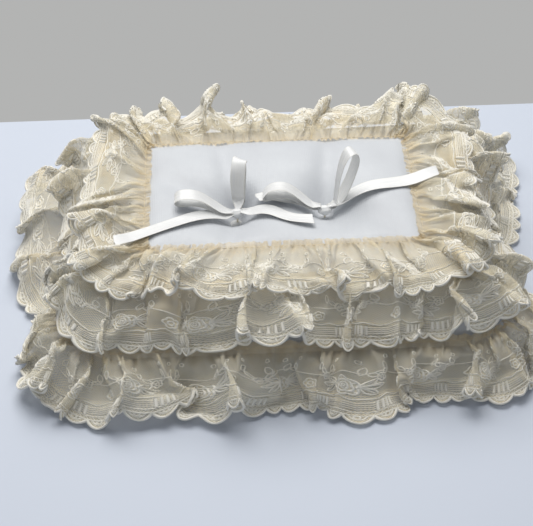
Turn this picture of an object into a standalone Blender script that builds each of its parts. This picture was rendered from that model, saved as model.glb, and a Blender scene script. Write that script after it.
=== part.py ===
"""Ring bearer pillow: a stuffed satin cushion with three tiers of gathered lace and two ribbon bows.

Metres, +Z up. The pillow lies on its back cover with the origin under its centre, +X to the right along
its long side and +Y towards its back edge. Every height on the cushion follows from how far in from the
seam a point lies, so the covers, the filling, the lace rows, the threads and the bows stay together.
"""

import math

import bmesh
import bpy
import numpy as np
from mathutils import Vector

# Cushion: two satin covers sewn together round a rounded rectangle.
SEAM_LENGTH = 0.280
SEAM_WIDTH = 0.214
SEAM_CORNER = 0.030
SEAM_HEIGHT = 0.028
TOP_RISE = 0.036
TOP_SHOULDER = 0.060
BASE_SHOULDER = 0.045
PANEL_CROWN = 0.005
COVER_THICKNESS = 0.0008
FILLING_GAP = 0.0008
TOUCH_GAP = 0.0004
RIM_LIFT = 0.75 * COVER_THICKNESS

# Tufts: the two places where a thread pulls the cover down, with a bow on each.
TUFT_SPACING = 0.058
TUFT_Y = -0.014
DIMPLE_DEPTH = 0.012
DIMPLE_RADIUS = 0.014
KNOT_SEAT_RADIUS = 0.006
TUFT_THREAD_DIAMETER = 0.0012
TUFT_HOLE_DIAMETER = 0.0026
TACK_DIAMETER = 0.004
TACK_HEIGHT = 0.0012

# Lace: how far in from the seam each tier is sewn on. Profiles run from the frilled heading outwards, as
# distance from the sewn line and height above it.
LACE_THICKNESS = 0.0018
LACE_CLEARANCE = 0.0022
HEADING = 0.005
TIERS = {
    "top": {
        "inset": 0.050,
        "profile": (
            (-HEADING, 0.0035), (0.0, 0.0), (0.008, 0.0036), (0.021, 0.0030),
            (0.036, 0.0010), (0.047, -0.0045),
        ),
        "waves": 16,
        "wave_height": 0.0016,
    },
    "middle": {
        "inset": 0.025,
        "profile": (
            (-HEADING, 0.0026), (0.0, 0.0), (0.008, -0.0037), (0.016, -0.0075),
            (0.024, -0.0112), (0.047, -0.0220),
        ),
        "waves": 18,
        "wave_height": 0.0013,
    },
    "bottom": {
        "inset": -0.004,
        "profile": ((0.0, -0.0005), (0.015, -0.0134), (0.029, -0.0255)),
        "waves": 20,
        "wave_height": 0.0008,
    },
}
CORNER_STEPS = 5
STEPS_PER_WAVE = 6
SMALLEST_CORNER = 0.003

# Threads.
GATHER_THREAD_DIAMETER = 0.0009
GATHER_THREAD_OFFSET = 0.0006
SEAM_THREAD_DIAMETER = 0.0008
SEAM_THREAD_OFFSET = 0.0012
CLOSING_LENGTH = 0.070
CLOSING_STITCHES = 12
CLOSING_STITCH_HEIGHT = 0.0022

# Ribbon bows. Headings are degrees anticlockwise from +X; shapes run out from the knot, as distance out and
# height above the front cover, in the upright plane that the ribbon lies in.
RIBBON_WIDTH = 0.010
RIBBON_THICKNESS = 0.0007
KNOT_LENGTH = 0.0095
KNOT_WIDTH = 0.0070
KNOT_HEIGHT = 0.0062
KNOT_ROUNDING = 0.0019
KNOT_GAP = 0.0006
KNOT_CLEARANCE = 0.0012
LOW_LOOP = (
    (0.0, 0.0050), (0.012, 0.0060), (0.026, 0.0060), (0.037, 0.0064), (0.041, 0.0092),
    (0.036, 0.0124), (0.024, 0.0120), (0.011, 0.0092), (0.0, 0.0064),
)
TALL_LOOP = (
    (0.0, 0.0050), (0.0008, 0.0100), (0.0024, 0.0155), (0.0068, 0.0200), (0.0130, 0.0205),
    (0.0165, 0.0175), (0.0150, 0.0130), (0.0100, 0.0092), (0.0030, 0.0056),
)
WIDE_LOOP = (
    (0.0, 0.0050), (0.0004, 0.0140), (0.0014, 0.0270), (0.0042, 0.0375), (0.0085, 0.0410),
    (0.0140, 0.0365), (0.0155, 0.0270), (0.0100, 0.0140), (0.0022, 0.0062),
)
LOOPS = {
    "left_bow_left_loop": (LOW_LOOP, 179),
    "left_bow_right_loop": (TALL_LOOP, 78),
    "right_bow_left_loop": (LOW_LOOP, 178),
    "right_bow_right_loop": (WIDE_LOOP, 32),
}
BOW_GAP = 0.0023

# Tails lie on whatever is under them. An outer tail is given by how far it ends past the panel's edge, over
# the lace, and an inner tail by how far it ends short of the other tuft.
OUTER_TAILS = {"left_bow_left_tail": (0.0190, 206), "right_bow_right_tail": (0.0132, 17)}
INNER_TAILS = {"left_bow_right_tail": (0.0094, -24), "right_bow_left_tail": (0.0133, 172)}
OUTER_TAIL_LIFT = 0.0026
INNER_TAIL_LIFT = 0.0029
TAIL_STEP = 0.006
TAIL_EASE = 0.006

# How finely the soft shapes are faceted.
COVER_COLUMNS = 30
COVER_ROWS = 24
THREAD_STEPS_PER_CORNER = 4
THREAD_STEPS_LONG = 6
THREAD_STEPS_WIDE = 5
ROUND_STEPS = 12
RIBBON_STEPS = 4
TAIL_SMOOTHING = 2
KNOT_ROUNDING_STEPS = 2

SATIN = ((0.86, 0.87, 0.88), 0.45)
BACKING = ((0.84, 0.84, 0.83), 0.7)
FIBRE = ((0.93, 0.93, 0.92), 0.95)
LACE = ((0.85, 0.79, 0.64), 0.85)
RIBBON = ((0.90, 0.90, 0.86), 0.3)
THREAD = ((0.88, 0.85, 0.76), 0.6)


def clear_scene():
    for thing in list(bpy.data.objects):
        bpy.data.objects.remove(thing)


def new_collection(name):
    made = bpy.data.collections.new(name)
    bpy.context.scene.collection.children.link(made)
    return made


def new_material(name, look):
    colour, roughness = look
    made = bpy.data.materials.new(name)
    made.use_nodes = True
    shader = made.node_tree.nodes["Principled BSDF"]
    shader.inputs["Base Color"].default_value = (*colour, 1.0)
    shader.inputs["Roughness"].default_value = roughness
    shader.inputs["Metallic"].default_value = 0.0
    return made


def place(thing, collection, material):
    collection.objects.link(thing)
    thing.data.materials.append(material)
    return thing


def object_from_bmesh(name, mesh_builder, collection, material, smooth_angle=50):
    mesh = bpy.data.meshes.new(name)
    mesh_builder.to_mesh(mesh)
    mesh_builder.free()
    mesh.shade_smooth()
    mesh.set_sharp_from_angle(angle=math.radians(smooth_angle))
    return place(bpy.data.objects.new(name, mesh), collection, material)


def tuft_positions():
    return [(side * TUFT_SPACING / 2, TUFT_Y) for side in (-1, 1)]


def inset_of(x, y):
    """How far inside the seam a point lies."""
    dx = abs(x) - (SEAM_LENGTH / 2 - SEAM_CORNER)
    dy = abs(y) - (SEAM_WIDTH / 2 - SEAM_CORNER)
    beyond = math.hypot(max(dx, 0.0), max(dy, 0.0))
    within = min(max(dx, dy), 0.0)
    return SEAM_CORNER - beyond - within


def shoulder(inset, reach):
    """A quarter round: 0 at the seam and 1 from reach inwards."""
    share = 1 - min(max(inset, 0.0), reach) / reach
    return math.sqrt(1 - share * share)


def dimple(x, y):
    """How far the tufts pull the cover down: a flat seat as wide as a knot, then a soft slope."""
    pulled = 0.0
    for tuft_x, tuft_y in tuft_positions():
        away = max(math.hypot(x - tuft_x, y - tuft_y) - KNOT_SEAT_RADIUS, 0.0)
        pulled += DIMPLE_DEPTH * math.exp(-((away / DIMPLE_RADIUS) ** 2))
    return pulled


def crown(x, y):
    panel = TIERS["top"]["inset"]
    across = 1 - min((x / (SEAM_LENGTH / 2 - panel)) ** 2, 1.0)
    along = 1 - min((y / (SEAM_WIDTH / 2 - panel)) ** 2, 1.0)
    return PANEL_CROWN * across * along


def top_height(x, y):
    return SEAM_HEIGHT + TOP_RISE * shoulder(inset_of(x, y), TOP_SHOULDER) + crown(x, y) - dimple(x, y)


def base_height(x, y):
    return SEAM_HEIGHT * (1 - shoulder(inset_of(x, y), BASE_SHOULDER))


def lace_top(x, y):
    """Height of the top tier's upper side, on the crest of its waves; nothing inside the panel."""
    spec = TIERS["top"]
    distance = spec["inset"] - inset_of(x, y)
    distances, rises = zip(*spec["profile"])
    if distance < distances[0]:
        return 0.0
    rise = float(np.interp(distance, distances, rises))
    return sewn_height("top") + rise + spec["wave_height"] + LACE_THICKNESS / 2


def rounded_grid(half_length, half_width, corner):
    """A flat grid primitive drawn to fill a rounded rectangle."""
    grid = bmesh.new()
    bmesh.ops.create_grid(grid, x_segments=COVER_COLUMNS, y_segments=COVER_ROWS, size=1.0)
    for vertex in grid.verts:
        ring = max(abs(vertex.co.x), abs(vertex.co.y))
        if ring < 1e-9:
            continue
        edge_x, edge_y = vertex.co.x / ring * half_length, vertex.co.y / ring * half_width
        past_x = abs(edge_x) - (half_length - corner)
        past_y = abs(edge_y) - (half_width - corner)
        if past_x > 0 and past_y > 0:
            pull = corner / math.hypot(past_x, past_y)
            edge_x = math.copysign(half_length - corner + past_x * pull, edge_x)
            edge_y = math.copysign(half_width - corner + past_y * pull, edge_y)
        vertex.co.x, vertex.co.y = ring * edge_x, ring * edge_y
    return grid


def bore(target, cutters, name, diameter, x, y):
    """Runs a tuft's thread hole through a piece."""
    drill = bmesh.new()
    depth = 4 * (SEAM_HEIGHT + TOP_RISE + PANEL_CROWN)
    bmesh.ops.create_cone(
        drill, cap_ends=True, segments=ROUND_STEPS, radius1=diameter / 2, radius2=diameter / 2, depth=depth
    )
    mesh = bpy.data.meshes.new(name)
    drill.to_mesh(mesh)
    drill.free()
    cutter = bpy.data.objects.new(name, mesh)
    cutter.location = (x, y, 0.0)
    cutter.hide_render = True
    cutter.display_type = "WIRE"
    cutters.objects.link(cutter)
    cut = target.modifiers.new("thread_hole", "BOOLEAN")
    cut.operation = "DIFFERENCE"
    cut.solver = "EXACT"
    cut.object = cutter


def bore_both(target, cutters, diameter):
    for side, (x, y) in zip(("left", "right"), tuft_positions()):
        bore(target, cutters, f"{target.name}_{side}_hole", diameter, x, y)


def make_cover(name, height, rim_lift, collection, cutters, material):
    """One satin cover: an open sheet over the cushion's shape, thickened inwards."""
    sheet = rounded_grid(SEAM_LENGTH / 2, SEAM_WIDTH / 2, SEAM_CORNER)
    for vertex in sheet.verts:
        vertex.co.z = height(vertex.co.x, vertex.co.y) + rim_lift
    if rim_lift < 0:
        for vertex in sheet.verts:
            vertex.co.z = max(vertex.co.z, 0.0)
        bmesh.ops.reverse_faces(sheet, faces=sheet.faces[:])
    cover = object_from_bmesh(name, sheet, collection, material)
    wall = cover.modifiers.new("cloth", "SOLIDIFY")
    wall.thickness = COVER_THICKNESS
    wall.offset = -1.0
    bore_both(cover, cutters, TUFT_HOLE_DIAMETER)
    return cover


def make_filling(collection, cutters, material):
    """The loose fibre as one closed body: both covers' shapes joined at the seam and drawn in clear."""
    body = rounded_grid(SEAM_LENGTH / 2, SEAM_WIDTH / 2, SEAM_CORNER)
    copied = bmesh.ops.duplicate(body, geom=body.verts[:] + body.edges[:] + body.faces[:])["geom"]
    under = {item for item in copied if isinstance(item, bmesh.types.BMVert)}
    bmesh.ops.reverse_faces(body, faces=[item for item in copied if isinstance(item, bmesh.types.BMFace)])
    for vertex in body.verts:
        height = base_height if vertex in under else top_height
        vertex.co.z = height(vertex.co.x, vertex.co.y)
    bmesh.ops.remove_doubles(body, verts=body.verts[:], dist=TOUCH_GAP)
    body.normal_update()
    drawn_in = COVER_THICKNESS + FILLING_GAP
    moves = [(vertex, vertex.normal * drawn_in * vertex.calc_shell_factor()) for vertex in body.verts]
    for vertex, move in moves:
        vertex.co -= move
    filling = object_from_bmesh("fibre_filling", body, collection, material)
    bore_both(filling, cutters, TACK_DIAMETER + 2 * TOUCH_GAP)
    return filling


def ring_points(offset, steps_long, steps_wide, corner_steps):
    """Points round the seam's outline moved outwards by offset, anticlockwise from the front left."""
    corner = max(SEAM_CORNER + offset, SMALLEST_CORNER)
    core_x = SEAM_LENGTH / 2 + offset - corner
    core_y = SEAM_WIDTH / 2 + offset - corner
    points = []
    for quarter, (sx, sy) in enumerate(((1, -1), (1, 1), (-1, 1), (-1, -1))):
        start = math.radians(-90 + 90 * quarter)
        for step in range(corner_steps + 1):
            turn = start + math.radians(90) * step / corner_steps
            points.append((sx * core_x + corner * math.cos(turn), sy * core_y + corner * math.sin(turn)))
        steps = steps_wide if quarter % 2 == 0 else steps_long
        ex, ey = points[-1]
        nx, ny = ((1, 1), (-1, 1), (-1, -1), (1, -1))[quarter]
        turn = start + math.radians(90)
        fx, fy = nx * core_x + corner * math.cos(turn), ny * core_y + corner * math.sin(turn)
        for step in range(1, steps):
            points.append((ex + (fx - ex) * step / steps, ey + (fy - ey) * step / steps))
    return points


def sewn_height(tier):
    """Height of the line a tier is sewn along."""
    inset = TIERS[tier]["inset"]
    lift = LACE_CLEARANCE if inset > 0 else 0.0
    return SEAM_HEIGHT + TOP_RISE * shoulder(inset, TOP_SHOULDER) + lift


def make_tier(tier, collection, material):
    """A gathered strip of lace as a waved ring: flat where it is sewn, waved towards its free edge."""
    spec = TIERS[tier]
    waves, base = spec["waves"], -spec["inset"]
    straight = waves * STEPS_PER_WAVE - 4 * CORNER_STEPS
    long_share = SEAM_LENGTH / (SEAM_LENGTH + SEAM_WIDTH)
    steps_long = round(straight / 2 * long_share)
    steps_wide = straight // 2 - steps_long
    rows = []
    strip = bmesh.new()
    reach = spec["profile"][-1][0]
    for distance, rise in spec["profile"]:
        row = []
        loop = ring_points(base + distance, steps_long, steps_wide, CORNER_STEPS)
        growth = max(distance, 0.0) / reach
        for index, (x, y) in enumerate(loop):
            wave = math.sin(2 * math.pi * waves * index / len(loop))
            height = sewn_height(tier) + rise + growth * spec["wave_height"] * wave
            if distance > 0 and inset_of(x, y) > 0:
                height = max(height, top_height(x, y) + LACE_CLEARANCE)
            row.append(strip.verts.new((x, y, height)))
        rows.append(row)
    for inner, outer in zip(rows, rows[1:]):
        count = len(inner)
        for index in range(count):
            following = (index + 1) % count
            strip.faces.new((inner[index], outer[index], outer[following], inner[following]))
    lace = object_from_bmesh(f"{tier}_lace_ruffle", strip, collection, material, smooth_angle=80)
    wall = lace.modifiers.new("lace", "SOLIDIFY")
    wall.thickness = LACE_THICKNESS
    wall.offset = 0.0
    return lace


def make_thread_ring(name, offset, height, diameter, collection, material):
    """A thread that runs once round the cushion and closes on itself."""
    curve = bpy.data.curves.new(name, "CURVE")
    curve.dimensions = "3D"
    curve.bevel_depth = diameter / 2
    curve.bevel_resolution = 0
    points = ring_points(offset, THREAD_STEPS_LONG, THREAD_STEPS_WIDE, THREAD_STEPS_PER_CORNER)
    spline = curve.splines.new("POLY")
    spline.points.add(len(points) - 1)
    for point, (x, y) in zip(spline.points, points):
        point.co = (x, y, height, 1.0)
    spline.use_cyclic_u = True
    return place(bpy.data.objects.new(name, curve), collection, material)


def make_gather_thread(tier, collection, material):
    """The sewing thread on the line that gathers a tier, lying in the groove behind its heading."""
    lift = LACE_THICKNESS / 2 + GATHER_THREAD_DIAMETER / 2 + 2 * TOUCH_GAP
    offset = GATHER_THREAD_OFFSET - TIERS[tier]["inset"]
    height = sewn_height(tier) + lift
    name = f"{tier}_gather_thread"
    return make_thread_ring(name, offset, height, GATHER_THREAD_DIAMETER, collection, material)


def make_closing_stitches(collection, material):
    """The hand-sewn ladder that shuts the gap the filling went in by, under the lace at the back edge."""
    curve = bpy.data.curves.new("closing_stitches", "CURVE")
    curve.dimensions = "3D"
    curve.bevel_depth = SEAM_THREAD_DIAMETER / 2
    curve.bevel_resolution = 0
    curve.use_fill_caps = True
    spline = curve.splines.new("POLY")
    turns = 2 * CLOSING_STITCHES + 1
    spline.points.add(turns - 1)
    drop = SEAM_THREAD_OFFSET + 2 * SEAM_THREAD_DIAMETER + CLOSING_STITCH_HEIGHT
    for index, point in enumerate(spline.points):
        x = CLOSING_LENGTH * (index / (turns - 1) - 0.5)
        z = SEAM_HEIGHT - drop + (CLOSING_STITCH_HEIGHT if index % 2 else 0.0)
        point.co = (x, SEAM_WIDTH / 2 + SEAM_THREAD_OFFSET, z, 1.0)
    return place(bpy.data.objects.new("closing_stitches", curve), collection, material)


def make_tuft_thread(name, x, y, collection, material):
    """A turned thread from under the knot to its tack on the back cover."""
    top = top_height(x, y) + TOUCH_GAP
    base = base_height(x, y)
    radius = TUFT_THREAD_DIAMETER / 2
    profile = bmesh.new()
    inside = COVER_THICKNESS + TOUCH_GAP
    corners = (
        (0.0, top),
        (radius, top),
        (radius, base + inside + TACK_HEIGHT),
        (TACK_DIAMETER / 2, base + inside + TACK_HEIGHT),
        (TACK_DIAMETER / 2, base + inside),
        (radius, base + inside),
        (radius, base),
        (0.0, base),
    )
    points = [profile.verts.new((reach, 0.0, height)) for reach, height in corners]
    for upper, lower in zip(points, points[1:]):
        profile.edges.new((upper, lower))
    thread = object_from_bmesh(name, profile, collection, material)
    thread.location = (x, y, 0.0)
    turned = thread.modifiers.new("turned", "SCREW")
    turned.steps = turned.render_steps = ROUND_STEPS
    turned.use_merge_vertices = True
    turned.merge_threshold = 0.00005
    turned.use_smooth_shade = True
    return thread


def eased(before, start, end, after, t):
    """A Catmull-Rom curve from start to end, read at t from 0 to 1."""
    square = 2 * before - 5 * start + 4 * end - after
    cube = 3 * start - before - 3 * end + after
    return 0.5 * (2 * start + (end - before) * t + square * t**2 + cube * t**3)


def smooth_path(points, steps):
    """The points read again from a smooth curve, so a ribbon bends evenly."""
    found = []
    padded = [points[0], *points, points[-1]]
    for four in zip(padded, padded[1:], padded[2:], padded[3:]):
        for step in range(steps):
            found.append(tuple(eased(*values, step / steps) for values in zip(*four)))
    found.append(points[-1])
    return found


def ribbon_outline(path, thickness):
    """The edge of a ribbon seen from its side: the path moved out on one side and back on the other."""
    left, right = [], []
    for index, point in enumerate(path):
        before, after = path[max(index - 1, 0)], path[min(index + 1, len(path) - 1)]
        run, rise = after[0] - before[0], after[1] - before[1]
        size = math.hypot(run, rise)
        side_x, side_y = -rise / size * thickness / 2, run / size * thickness / 2
        left.append((point[0] + side_x, point[1] + side_y))
        right.append((point[0] - side_x, point[1] - side_y))
    return left + right[::-1]


def make_ribbon(name, path, heading, start, collection, material):
    """A stretch of ribbon: its side view as a filled outline, as thick as the ribbon is wide."""
    outline = ribbon_outline(path, RIBBON_THICKNESS)
    curve = bpy.data.curves.new(name, "CURVE")
    curve.dimensions = "2D"
    curve.fill_mode = "BOTH"
    curve.extrude = RIBBON_WIDTH / 2
    spline = curve.splines.new("POLY")
    spline.points.add(len(outline) - 1)
    for point, (across, up) in zip(spline.points, outline):
        point.co = (across, up, 0.0, 1.0)
    spline.use_cyclic_u = True
    ribbon = place(bpy.data.objects.new(name, curve), collection, material)
    ribbon.location = start
    ribbon.rotation_euler = (math.radians(90), 0.0, math.radians(heading))
    return ribbon


def make_knot(name, x, y, height, collection, material):
    """The pulled-tight knot, a rounded block on the tuft."""
    block = bmesh.new()
    bmesh.ops.create_cube(block, size=1.0)
    for vertex in block.verts:
        vertex.co = Vector((vertex.co.x * KNOT_LENGTH, vertex.co.y * KNOT_WIDTH, vertex.co.z * KNOT_HEIGHT))
    knot = object_from_bmesh(name, block, collection, material)
    knot.location = (x, y, height + KNOT_HEIGHT / 2)
    rounding = knot.modifiers.new("rounding", "BEVEL")
    rounding.width = KNOT_ROUNDING
    rounding.segments = KNOT_ROUNDING_STEPS
    return knot


def knot_centre(name):
    side = -1 if name.startswith("left") else 1
    return side * TUFT_SPACING / 2, TUFT_Y


def ribbon_start(heading):
    """How far from the tuft a ribbon leaves its knot, so that its corners clear the knot's end."""
    return KNOT_LENGTH / 2 + KNOT_GAP + RIBBON_WIDTH / 2 * abs(math.sin(math.radians(heading)))


def leave_knot(name, heading):
    """Where a ribbon leaves its knot, and the way it goes."""
    x, y = knot_centre(name)
    ahead = (math.cos(math.radians(heading)), math.sin(math.radians(heading)))
    out = ribbon_start(heading)
    return (x + out * ahead[0], y + out * ahead[1]), ahead


def loop_scale(name):
    """The loop that points at the other bow stops short of it; the others keep their size."""
    if name != "right_bow_left_loop":
        return 1.0
    shape, heading = LOOPS[name]
    other = LOOPS["left_bow_right_loop"][1]
    turn = math.radians(other)
    taken = ribbon_start(other) * math.cos(turn) + RIBBON_WIDTH / 2 * math.sin(turn)
    room = TUFT_SPACING - ribbon_start(heading) - taken - BOW_GAP
    return room / max(distance for distance, lift in shape)


def across_ribbon(start, ahead, far):
    """Three points across a ribbon's width at a distance out: one edge, the middle and the other edge."""
    x, y = start[0] + far * ahead[0], start[1] + far * ahead[1]
    half = RIBBON_WIDTH / 2
    return [(x - across * ahead[1], y + across * ahead[0]) for across in (-half, 0.0, half)]


def cover_under(start, ahead, far):
    return max(top_height(x, y) for x, y in across_ribbon(start, ahead, far))


def lace_under(start, ahead, far):
    """The lace under a ribbon, looked for a little way either side so that the ribbon eases over its edge."""
    highest = 0.0
    for along in (-TAIL_EASE, 0.0, TAIL_EASE):
        highest = max(highest, *(lace_top(x, y) for x, y in across_ribbon(start, ahead, far + along)))
    return highest


def loop_path(name, start, ahead):
    """A loop's side view, with its heights taken from the cover under it and under the tail beside it."""
    scale = loop_scale(name)
    level = top_height(*start)
    beside = name.replace("loop", "tail")
    tail_start, tail_ahead = leave_knot(beside, {**OUTER_TAILS, **INNER_TAILS}[beside][1])
    path = []
    for distance, lift in smooth_path(LOOPS[name][0], RIBBON_STEPS):
        far = distance * scale
        cover = max(cover_under(start, ahead, far), cover_under(tail_start, tail_ahead, far))
        path.append((far, cover + lift - level))
    return path


def tail_path(name, start, ahead):
    """A tail's side view: it lies on the panel, and an outer one climbs the lace past its sewn line."""
    if name in OUTER_TAILS:
        panel_edge = SEAM_LENGTH / 2 - TIERS["top"]["inset"]
        length = (panel_edge - abs(start[0])) / abs(ahead[0]) + OUTER_TAILS[name][0]
        lift = OUTER_TAIL_LIFT
    else:
        short, heading = INNER_TAILS[name]
        length = (TUFT_SPACING - short) / abs(ahead[0]) - ribbon_start(heading)
        lift = INNER_TAIL_LIFT
    steps = max(round(length / TAIL_STEP), 2)
    level = top_height(*start)
    path = []
    for step in range(steps + 1):
        far = length * step / steps
        under = max(cover_under(start, ahead, far), lace_under(start, ahead, far))
        path.append((far, under + lift - level))
    return smooth_path(path, TAIL_SMOOTHING)


def make_bow_piece(name, heading, path_of, collection, material):
    start, ahead = leave_knot(name, heading)
    place_at = (*start, top_height(*start))
    make_ribbon(name, path_of(name, start, ahead), heading, place_at, collection, material)


def make_bows(collection, material):
    for bow in ("left_bow", "right_bow"):
        x, y = knot_centre(bow)
        make_knot(f"{bow}_knot", x, y, top_height(x, y) + KNOT_CLEARANCE, collection, material)
    for name, (shape, heading) in LOOPS.items():
        make_bow_piece(name, heading, loop_path, collection, material)
    for name, (reach, heading) in {**OUTER_TAILS, **INNER_TAILS}.items():
        make_bow_piece(name, heading, tail_path, collection, material)


def main():
    clear_scene()
    pillow = new_collection("ring_bearer_pillow")
    cutters = new_collection("cutters")
    satin = new_material("satin", SATIN)
    backing = new_material("backing", BACKING)
    fibre = new_material("fibre", FIBRE)
    lace = new_material("lace", LACE)
    ribbon = new_material("ribbon", RIBBON)
    thread = new_material("thread", THREAD)
    make_cover("front_cover", top_height, RIM_LIFT, pillow, cutters, satin)
    make_cover("back_cover", base_height, -RIM_LIFT, pillow, cutters, backing)
    make_filling(pillow, cutters, fibre)
    make_thread_ring("seam_thread", SEAM_THREAD_OFFSET, SEAM_HEIGHT, SEAM_THREAD_DIAMETER, pillow, thread)
    make_closing_stitches(pillow, thread)
    for tier in TIERS:
        make_tier(tier, pillow, lace)
        make_gather_thread(tier, pillow, thread)
    for side, (x, y) in zip(("left", "right"), tuft_positions()):
        make_tuft_thread(f"{side}_tuft_thread", x, y, pillow, thread)
    make_bows(pillow, ribbon)


main()
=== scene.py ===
import math
import random
from functools import partial
from types import SimpleNamespace

import bmesh
import bpy
import numpy as np
from mathutils import Matrix, Vector
from mathutils.bvhtree import BVHTree


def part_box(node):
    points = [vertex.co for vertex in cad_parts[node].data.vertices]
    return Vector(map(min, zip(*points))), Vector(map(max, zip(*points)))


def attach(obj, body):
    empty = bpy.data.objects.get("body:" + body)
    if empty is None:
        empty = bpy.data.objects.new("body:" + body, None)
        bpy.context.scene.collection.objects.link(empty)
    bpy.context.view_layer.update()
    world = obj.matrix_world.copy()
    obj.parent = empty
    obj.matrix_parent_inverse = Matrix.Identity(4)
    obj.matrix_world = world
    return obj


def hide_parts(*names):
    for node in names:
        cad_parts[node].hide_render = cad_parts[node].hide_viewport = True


# Ring bearer pillow: a tufted satin cushion, three tiers of gathered lace and two ribbon bows.
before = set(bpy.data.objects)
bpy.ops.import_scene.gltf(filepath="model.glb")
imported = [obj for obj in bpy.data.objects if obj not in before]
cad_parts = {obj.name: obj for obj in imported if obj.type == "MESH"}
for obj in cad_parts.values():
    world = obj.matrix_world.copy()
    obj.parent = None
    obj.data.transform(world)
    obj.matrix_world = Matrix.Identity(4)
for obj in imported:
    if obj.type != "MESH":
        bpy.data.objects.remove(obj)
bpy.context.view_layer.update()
scene = bpy.context.scene
print("frame loaded:", len(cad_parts), "nodes")


# --- small helpers ---

def clamp(value, low, high):
    return np.minimum(np.maximum(value, low), high)


def addMesh(name, points, faces, material=None):
    mesh = bpy.data.meshes.new(name)
    mesh.from_pydata([tuple(p) for p in np.asarray(points, float)], [], [tuple(f) for f in faces])
    mesh.update()
    mesh.shade_smooth()
    piece = bpy.data.objects.new(name, mesh)
    scene.collection.objects.link(piece)
    if material:
        mesh.materials.append(material)
    return piece


def readValues(source, key, width, kind=np.float32):
    # One value of every vertex or corner, as rows of width numbers.
    values = np.empty(len(source) * width, kind)
    source.foreach_get(key, values)
    return values.reshape(-1, width)


def removeObject(piece):
    mesh = piece.data
    bpy.data.objects.remove(piece)
    bpy.data.meshes.remove(mesh)


def setAll(target, settings):
    for name, value in settings.items():
        setattr(target, name, value)


def finerBy(piece, levels=1):
    finer = piece.modifiers.new("finer", "SUBSURF")
    finer.levels = finer.render_levels = levels
    return finer


def welded(piece, outward=False):
    # Joins the points that lie on each other, and can turn every face outwards.
    mesh = bmesh.new()
    mesh.from_mesh(piece.data)
    bmesh.ops.remove_doubles(mesh, verts=mesh.verts, dist=1e-6)
    if outward:
        bmesh.ops.recalc_face_normals(mesh, faces=mesh.faces)
    mesh.to_mesh(piece.data)
    mesh.free()
    return piece


def setUv(piece, uvOfCorner, name="lay"):
    layer = piece.data.uv_layers.get(name) or piece.data.uv_layers.new(name=name)
    layer.data.foreach_set("uv", np.asarray(uvOfCorner, np.float32).ravel())


def applied(piece):
    graph = bpy.context.evaluated_depsgraph_get()
    result = piece.evaluated_get(graph)
    mesh = bpy.data.meshes.new_from_object(result, preserve_all_data_layers=True, depsgraph=graph)
    old = piece.data
    piece.modifiers.clear()
    piece.data = mesh
    mesh.name = piece.name
    if old.users == 0:
        bpy.data.meshes.remove(old)
    return piece


def node(tree, kind, inputs=None, **settings):
    made = tree.nodes.new(kind)
    setAll(made, settings)
    for key, value in (inputs or {}).items():
        if isinstance(value, bpy.types.NodeSocket):
            tree.links.new(value, made.inputs[key])
        else:
            made.inputs[key].default_value = value
    return made


def calc(tree, operation, a, b=0.0, c=0.0):
    return node(tree, "ShaderNodeMath", {0: a, 1: b, 2: c}, operation=operation).outputs[0]


def sumsIn(tree):
    # Shader arithmetic in one tree, under everyday names.
    kinds = {
        "plus": "ADD", "minus": "SUBTRACT", "times": "MULTIPLY", "over": "DIVIDE", "power": "POWER",
        "size": "ABSOLUTE", "most": "MAXIMUM", "least": "MINIMUM", "part": "FRACT", "sine": "SINE",
        "root": "SQRT", "angle": "ARCTAN2", "above": "GREATER_THAN", "below": "LESS_THAN",
    }
    return SimpleNamespace(**{name: partial(calc, tree, kind) for name, kind in kinds.items()})


def placeIn(tree):
    return node(tree, "ShaderNodeTexCoord").outputs["Object"]


def noise(tree, vector, scale, detail, **more):
    settings = {"Vector": vector, "Scale": scale, "Detail": detail, **more}
    return node(tree, "ShaderNodeTexNoise", settings).outputs[0]


def blend(tree, share, first, second):
    mix = node(tree, "ShaderNodeMix", data_type="RGBA")
    for socket, value in zip((mix.inputs[0], mix.inputs[6], mix.inputs[7]), (share, first, second)):
        if isinstance(value, bpy.types.NodeSocket):
            tree.links.new(value, socket)
        else:
            socket.default_value = value
    return mix.outputs[2]


def spread(tree, value, low, high, outLow=0.0, outHigh=1.0):
    settings = {"Value": value, "From Min": low, "From Max": high, "To Min": outLow, "To Max": outHigh}
    return node(tree, "ShaderNodeMapRange", settings).outputs[0]


motif = {  # one repeat of the lace's pattern
    "repeat": 0.062,
    "columns": 16,  # of the strip's own mesh in one repeat
    "scallops": 6,
    "scallopDepth": 0.0056,
    "scallopPower": 0.75,
    "cord": 0.00066,  # radius of a plain cord
    "sides": 4,
    "roseRadius": 0.0066,
    "roseInward": 0.0205,  # from the foot of the scallops
    "budRadius": 0.0040,
    "budInward": 0.0190,
    "sideFlowers": (0.0155, 0.0465),  # along the repeat
}


def edgeLine(width):
    return width - motif["scallopDepth"]


# --- finishes ---

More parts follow.
